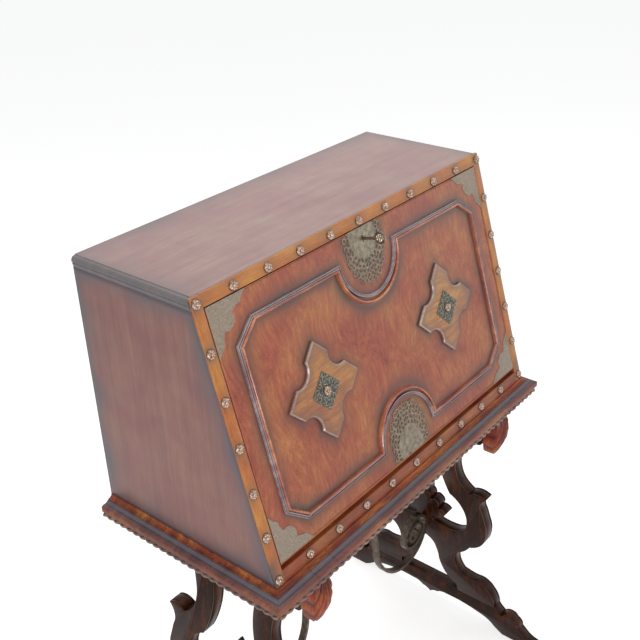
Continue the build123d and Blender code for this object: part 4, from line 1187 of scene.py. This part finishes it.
# ---- the base
@dataclass
class Base(Part):
    """The base moulding with its rope, and the lopers' heads."""

    overrun: float = 40.0  # how far a run goes on past its corner before it is mitred
    kerf: float = 0.5
    rope_radius: float = 7.2
    rope_in: float = 19.0
    rope_down: float = 31.5
    rope_pitch: float = 17.0
    strands: int = 3
    steps_a_twist: int = 8
    sides_a_strand: int = 6
    waist: float = 0.66  # the rope's radius in its hollows, as a share of its whole radius
    ledge_down: float = 9.6  # the moulding's ledge, below the case
    ledge_half: float = 3.2
    quirk_down: float = 17.6
    quirk_half: float = 0.6

    def section(self, top: float) -> Pairs:
        """The moulding's section, outward from the case and up from its foot, in millimetres."""
        line = [(-17, top), (0.8, top), (1.0, -1.4), (1.6, -3.0), (3.0, -4.4), (5.4, -5.5), (8.9, -6.0)]
        line += [(9.0, -7.9), (10.9, -8.0), (11.6, -9.2), (13.0, -10.2), (15.6, -11.0), (16.2, -11.9)]
        line += [(17.0, -11.3), (18.0, -11.2), (21.6, -11.9), (23.8, -12.5), (25.1, -13.8), (25.5, -15.6)]
        line += [(25.5, -17.0), (25.0, -17.6), (25.5, -18.2), (25.5, -24.4), (24.4, -25.8), (-17, -25.9)]
        return line

    def run(self, shape: Shape, place: Matrix, length: float, top: float = 0.0) -> None:
        """Add a straight length of the moulding to a shape.

        Args:
            shape: the mesh that takes it.
            place: a frame with x outward, y up and z along the run.
            length: the run's length in metres.
            top: how far its top lies below the case, in millimetres.
        """
        before = len(shape.verts)
        face = flat_face(shape, [mm(x, y) for x, y in self.section(top)])
        pull(shape, [face], Vector((0, 0, length)))
        put(shape, place, before)

    def mitre(self, shape: Shape, side: int, way: int) -> None:
        """Mitre a shape through a front corner, keeping the front's part with 1 and the side's with -1."""
        corner = Vector((side * self.lay.half, self.lay.foot_y, 0))
        cut(shape, corner, Vector((side, 1, 0)) * way, cap=True)

    def frame_of(self, across: tuple[float, ...], along: tuple[float, ...]) -> Matrix:
        """A run's frame, from its first two rows: its y is up and it starts at the case's foot."""
        return Matrix((across, along, (0, 1, 0, self.lay.foot_z), (0, 0, 0, 1)))

    def front_place(self, x: float) -> Matrix:
        """Frame of a front run that starts at x and goes to the left: x outward, y up."""
        return self.frame_of((0, 0, -1, x), (-1, 0, 0, self.lay.foot_y))

    def side_place(self, side: int) -> Matrix:
        """Frame of a side run that starts at the back: x outward, y up, z to the front."""
        return self.frame_of((side, 0, 0, side * self.lay.half), (0, 0, -1, self.lay.back_y))

    def rope(self, shape: Shape, place: Matrix, length: float) -> None:
        """Add a length of carved rope to a shape, its strands twisted along the run, with painted shade in
        the hollows between them.
        """
        before = len(shape.verts)
        patina_and_light = shape.verts.layers.float.get(PATINA_AND_PAINTED_LIGHT) or shape.verts.layers.float.new(PATINA_AND_PAINTED_LIGHT)
        sides = self.strands * self.sides_a_strand
        ring = ops.create_circle(shape, cap_ends=True, radius=1.0, segments=sides)["verts"]
        for index, vertex in enumerate(ring):
            swell = abs(math.cos(math.pi * self.strands * index / sides))
            vertex.co *= (self.rope_radius * (self.waist + (1 - self.waist) * swell)) * MM
            # the hollows between the strands are painted in shade
            vertex[patina_and_light] = (1 - swell) ** 0.8
        count = max(1, round(length / (self.rope_pitch * MM / self.steps_a_twist)))
        twist = Matrix.Rotation(2 * math.pi / self.strands / self.steps_a_twist, 3, "Z")
        face = ring[0].link_faces[0]
        spent = []
        for _ in range(count):
            points, fresh = pull(shape, [face], Vector((0, 0, length / count)))
            ops.rotate(shape, cent=(0, 0, 0), matrix=twist, verts=points)
            spent.append(face)
            face = fresh[0]
        for old in spent[1:]:
            if old.is_valid:
                shape.faces.remove(old)
        put(shape, place @ shift(self.rope_in, -self.rope_down), before)

    def show_run(self, name: str, shape: Shape, body: str, node: str) -> None:
        """Finish a run of moulding, with a painted grey reflection of the sky on its ledge and painted shade
        in its quirk.
        """
        piece = finished(name, outward(shape), self.finishes.moulding, body, (node,), 28)

        def waxed(at: Vector) -> float:
            """Painted reflection and shade at a point, by how far it lies below the case."""
            drop = (self.lay.foot_z - at.z) / MM
            ledge = max(0.0, 1 - abs(drop - self.ledge_down) / self.ledge_half) ** 0.5
            quirk = math.exp(-abs(drop - self.quirk_down) / self.quirk_half)
            return max(0.95 * ledge, 0.8 * quirk)

        shade(piece, waxed)

    def build(self) -> None:
        """Make the base's mouldings and rope, and the lopers' heads that fill the gaps in them."""
        lay, wood, past = self.lay, self.finishes.rope, self.overrun * MM
        heads = {name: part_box(f"loper_face_{name}") for name, _ in SIDES}
        inner, outer = heads["right"][0].x - self.kerf * MM, heads["right"][1].x + self.kerf * MM
        deep = lay.back_y - lay.foot_y
        reach, corner = lay.half + past, lay.half + self.rope_in * MM
        front, rope = bmesh.new(), bmesh.new()
        self.run(front, self.front_place(inner), 2 * inner)
        for _, side in SIDES:
            part = bmesh.new()
            self.run(part, self.front_place(reach if side > 0 else -outer), reach - outer)
            self.mitre(part, side, 1)
            stamp(front, as_pattern(part), Matrix())
        self.show_run("front_moulding", front, "case", "base_moulding_front")
        for name, side in SIDES:
            part = bmesh.new()
            self.run(part, self.side_place(side), deep + past)
            self.mitre(part, side, -1)
            self.show_run(f"side_moulding_{name}", part, "case", f"base_moulding_{name}")
        for start, length in ((inner, 2 * inner), (corner, corner - outer), (-outer, corner - outer)):
            self.rope(rope, self.front_place(start), length)
        for _, side in SIDES:
            self.rope(rope, self.side_place(side), deep + self.rope_in * MM)
        finished("carved_rope", outward(rope), wood, "case", ("rope_trim",), 60)
        for name, (low, high) in heads.items():
            head, part = bmesh.new(), bmesh.new()
            self.run(head, self.front_place(high.x), high.x - low.x, -0.5)
            self.show_run(f"loper_head_{name}", head, f"{name}_loper", f"loper_face_{name}")
            self.rope(part, self.front_place(high.x), high.x - low.x)
            finished(f"loper_rope_{name}", outward(part), wood, f"{name}_loper", (), 60)


@dataclass
class Shells(Part):
    """The carved scallop shells under the lopers' heads."""

    ribs: int = 9
    flute_mm: float = 4.2
    neck_mm: float = 15.0
    toe_mm: float = 24.0
    bow_mm: float = 11.0  # how far the sides bend back
    ripple_mm: float = 0.25
    ripples: float = 26.0  # radians of ripple from the hinge to the outline
    lip_mm: float = 3.0  # least thickness at the rim
    waist: float = 0.42  # share of the height at which the neck turns to the toe
    hinge: float = 0.06  # share of the flutes that the hinge hides
    turn: float = 2.72  # how far round its outline the shell runs, each way from its foot

    def build(self) -> None:
        """Carve both shells."""
        for name, _ in SIDES:
            low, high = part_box(f"loper_shell_{name}")
            shape = bmesh.new()
            patina_and_light = shape.verts.layers.float.new(PATINA_AND_PAINTED_LIGHT)
            ops.create_grid(shape, x_segments=90, y_segments=30, size=1.0)
            for vertex in shape.verts:
                across, down = vertex.co.x, (1 - vertex.co.y) / 2
                out = self.hinge + (1 - self.hinge) * down
                vertex.co, vertex[patina_and_light] = self.surface(across, out, low, high)
            rims = [e for e in shape.edges if e.is_boundary]
            made = ops.extrude_edge_only(shape, edges=rims)
            for vertex in (g for g in made["geom"] if isinstance(g, Vert)):
                vertex.co.y = high.y
            ops.contextual_create(shape, geom=[e for e in shape.edges if e.is_boundary])
            body, node = f"{name}_loper", (f"loper_shell_{name}",)
            finished(f"scallop_shell_{name}", outward(shape), self.finishes.shell, body, node, 50)

    def surface(self, across: float, out: float, low: Vector, high: Vector) -> tuple[Vector, float]:
        """A point of the shell's front and its painted shade.

        Args:
            across: along the outline, from -1 through the foot at 0 to 1.
            out: from the hinge at 0 to the outline at 1.
            low: the shell's lowest corner.
            high: its highest corner.

        Returns:
            The point in metres, and the painted shade there.
        """
        angle = across * self.turn
        width, height = (high.x - low.x) / 2, high.z - low.z
        rib = abs(math.cos(math.pi * self.ribs * across / 2))
        reach = out * (1 - 0.035 * (1 - rib) * out)
        x = width * math.copysign(abs(math.sin(angle)) ** 0.72, angle) * reach
        drop = (0.5 + 0.5 * math.cos(angle)) * reach
        if drop < self.waist:
            inward = self.neck_mm * (1 - math.sin(math.pi / 2 * drop / self.waist))
        else:
            inward = self.toe_mm * ((drop - self.waist) / (1 - self.waist)) ** 1.9
        inward += self.bow_mm * abs(x / width) ** 2.4 + self.flute_mm * (1 - rib) * min(1.0, 2 * out)
        inward += self.ripple_mm * math.sin(self.ripples * out)
        y = min(high.y - self.lip_mm * MM, low.y + inward * MM)
        # painted shade: darkest at the hinge under the loper's head, and in the flutes between the ribs
        dark = max(0.0, 1.05 - 2.6 * drop) + 0.75 * (1 - rib) ** 1.5
        return Vector(((low.x + high.x) / 2 + x, y, high.z - height * drop)), min(1.0, dark)


# ---- the stand
@dataclass
class Trestles(Part):
    """The lyre trestles, their boards' arrises rounded and a quirk run round each edge."""

    arris_mm: float = 1.4
    quirk_in: float = 4.6  # from a board's face to its quirk
    quirk_half: float = 1.1
    quirk_depth: float = 1.1

    def build(self, nodes: dict[str, Piece]) -> None:
        """Work every board of both trestles."""
        wood = self.finishes.trestle
        for side, _ in SIDES:
            for part in ("leg_front", "leg_rear", "finial", "foot_rail"):
                name = f"{side}_{part}"
                shape = merged_copy(nodes[name])
                faces = sorted(shape.faces, key=lambda f: f.calc_area())[-2:]
                sides = [(face.calc_center_median(), face.normal.copy()) for face in faces]
                ease(shape, [edge for face in faces for edge in face.edges], self.arris_mm, clamp=True)
                for middle, normal in sides:
                    self.quirk(shape, middle, normal)
                finished(f"carved_{name}", shape, wood, "case", (name,), 30)

    def quirk(self, shape: Shape, middle: Vector, normal: Vector) -> None:
        """Run a narrow groove round a board's edge, a little below one of its faces.

        Args:
            shape: the board.
            middle: the face's middle.
            normal: the face's normal.
        """
        for level in (-1, 1, 0):
            bottom = cut(shape, middle - normal * (self.quirk_in + level * self.quirk_half) * MM, normal)
        shape.normal_update()
        sunk = [(vertex, vertex.co - vertex.normal * self.quirk_depth * MM) for vertex in bottom]
        for vertex, place in sunk:
            vertex.co = place


# ---- the studio
@dataclass
class Studio:
    """Floor, backdrop, lamps and camera."""

    camera_place: tuple[float, float, float] = (-1.1914, -0.9639, 1.7738)
    forward: tuple[float, float, float] = (0.6759, 0.5671, -0.4707)
    right: tuple[float, float, float] = (0.6295, -0.7764, -0.0316)
    lens: float = 53.64
    floor_glow: float = 0.62
    floor_reach: float = 60.0

    @staticmethod
    def seen(add: Add) -> Socket:
        """One where a ray comes from the camera, a gloss or a clear body, and otherwise nought."""
        path = add("LightPath").node.outputs
        either = add("Math", (path["Is Camera Ray"], path["Is Glossy Ray"]), operation="MAXIMUM")
        return add("Math", (either, path["Is Transmission Ray"]), operation="MAXIMUM")

    def build(self) -> None:
        """Set up the studio."""
        self.floor()
        self.light()
        self.camera()

    def floor(self) -> None:
        """Lay a pale floor that takes the desk's shadow."""
        shape = bmesh.new()
        ops.create_grid(shape, x_segments=1, y_segments=1, size=self.floor_reach)
        floor = show("studio_floor", shape)
        material, add = new_material("pale_painted_floor")
        paint = add("BsdfDiffuse", {"Color": linear("DCDBD9")})
        both = add("AddShader", (paint, add("Emission", {"Color": WHITE, "Strength": self.floor_glow})))
        add("OutputMaterial", {"Surface": add("MixShader", (self.seen(add), paint, both))})
        floor.data.materials.append(material)

    def light(self) -> None:
        """Hang soft lamps and a white surround."""
        scene = bpy.context.scene
        world = bpy.data.worlds.new("white_surround")
        world.use_nodes = True
        world.node_tree.nodes.clear()
        add = partial(add_node, world.node_tree)
        soft = add("Background", {"Color": linear("F2F4F8"), "Strength": 0.5})
        white = add("Background", {"Color": WHITE, "Strength": 1.0})
        add("OutputWorld", {"Surface": add("MixShader", (self.seen(add), soft, white))})
        scene.world = world
        for name, place, aim, size, power in (
            ("key_lamp", (-2.5, -2.5, 1.5), (0.0, 0.0, 0.8), 1.4, 62.0),
            ("fill_lamp", (2.4, -2.4, 1.6), (0.0, 0.0, 0.7), 2.0, 12.0),
            ("sky_lamp", (0.2, 0.6, 3.6), (0.0, 0.0, 1.0), 2.4, 40.0),
        ):
            data = bpy.data.lights.new(name, "AREA")
            data.shape, data.size, data.energy = "SQUARE", size, power
            lamp = bpy.data.objects.new(name, data)
            lamp.location = place
            lamp.rotation_euler = (Vector(aim) - Vector(place)).to_track_quat("-Z", "Y").to_euler()
            scene.collection.objects.link(lamp)

    def camera(self) -> None:
        """Place the camera."""
        scene = bpy.context.scene
        data = bpy.data.cameras.new("camera")
        data.lens, data.sensor_width = self.lens, 36.0
        camera = bpy.data.objects.new("camera", data)
        ahead, right = Vector(self.forward).normalized(), Vector(self.right)
        right = (right - ahead * right.dot(ahead)).normalized()
        turned = Matrix((right, right.cross(ahead), -ahead)).transposed().to_4x4()
        camera.matrix_world = Matrix.Translation(self.camera_place) @ turned
        scene.collection.objects.link(camera)
        scene.camera = camera
        scene.view_settings.view_transform = "Standard"


def main() -> None:
    """Load the frame, build and dress every sub-assembly, and note the sizes."""
    logging.basicConfig(level=logging.INFO, format="%(name)s %(message)s")
    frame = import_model()
    nodes = frame["nodes"]
    shared = Lay.from_frame(), Finishes()
    case = Case(*shared)
    case.dress(nodes)
    case.build()
    Lippings(*shared).build(nodes)
    Fall(*shared).build()
    Base(*shared).build()
    Shells(*shared).build()
    Trestles(*shared).build(nodes)
    Studio().build()


if __name__ == "__main__":
    main()
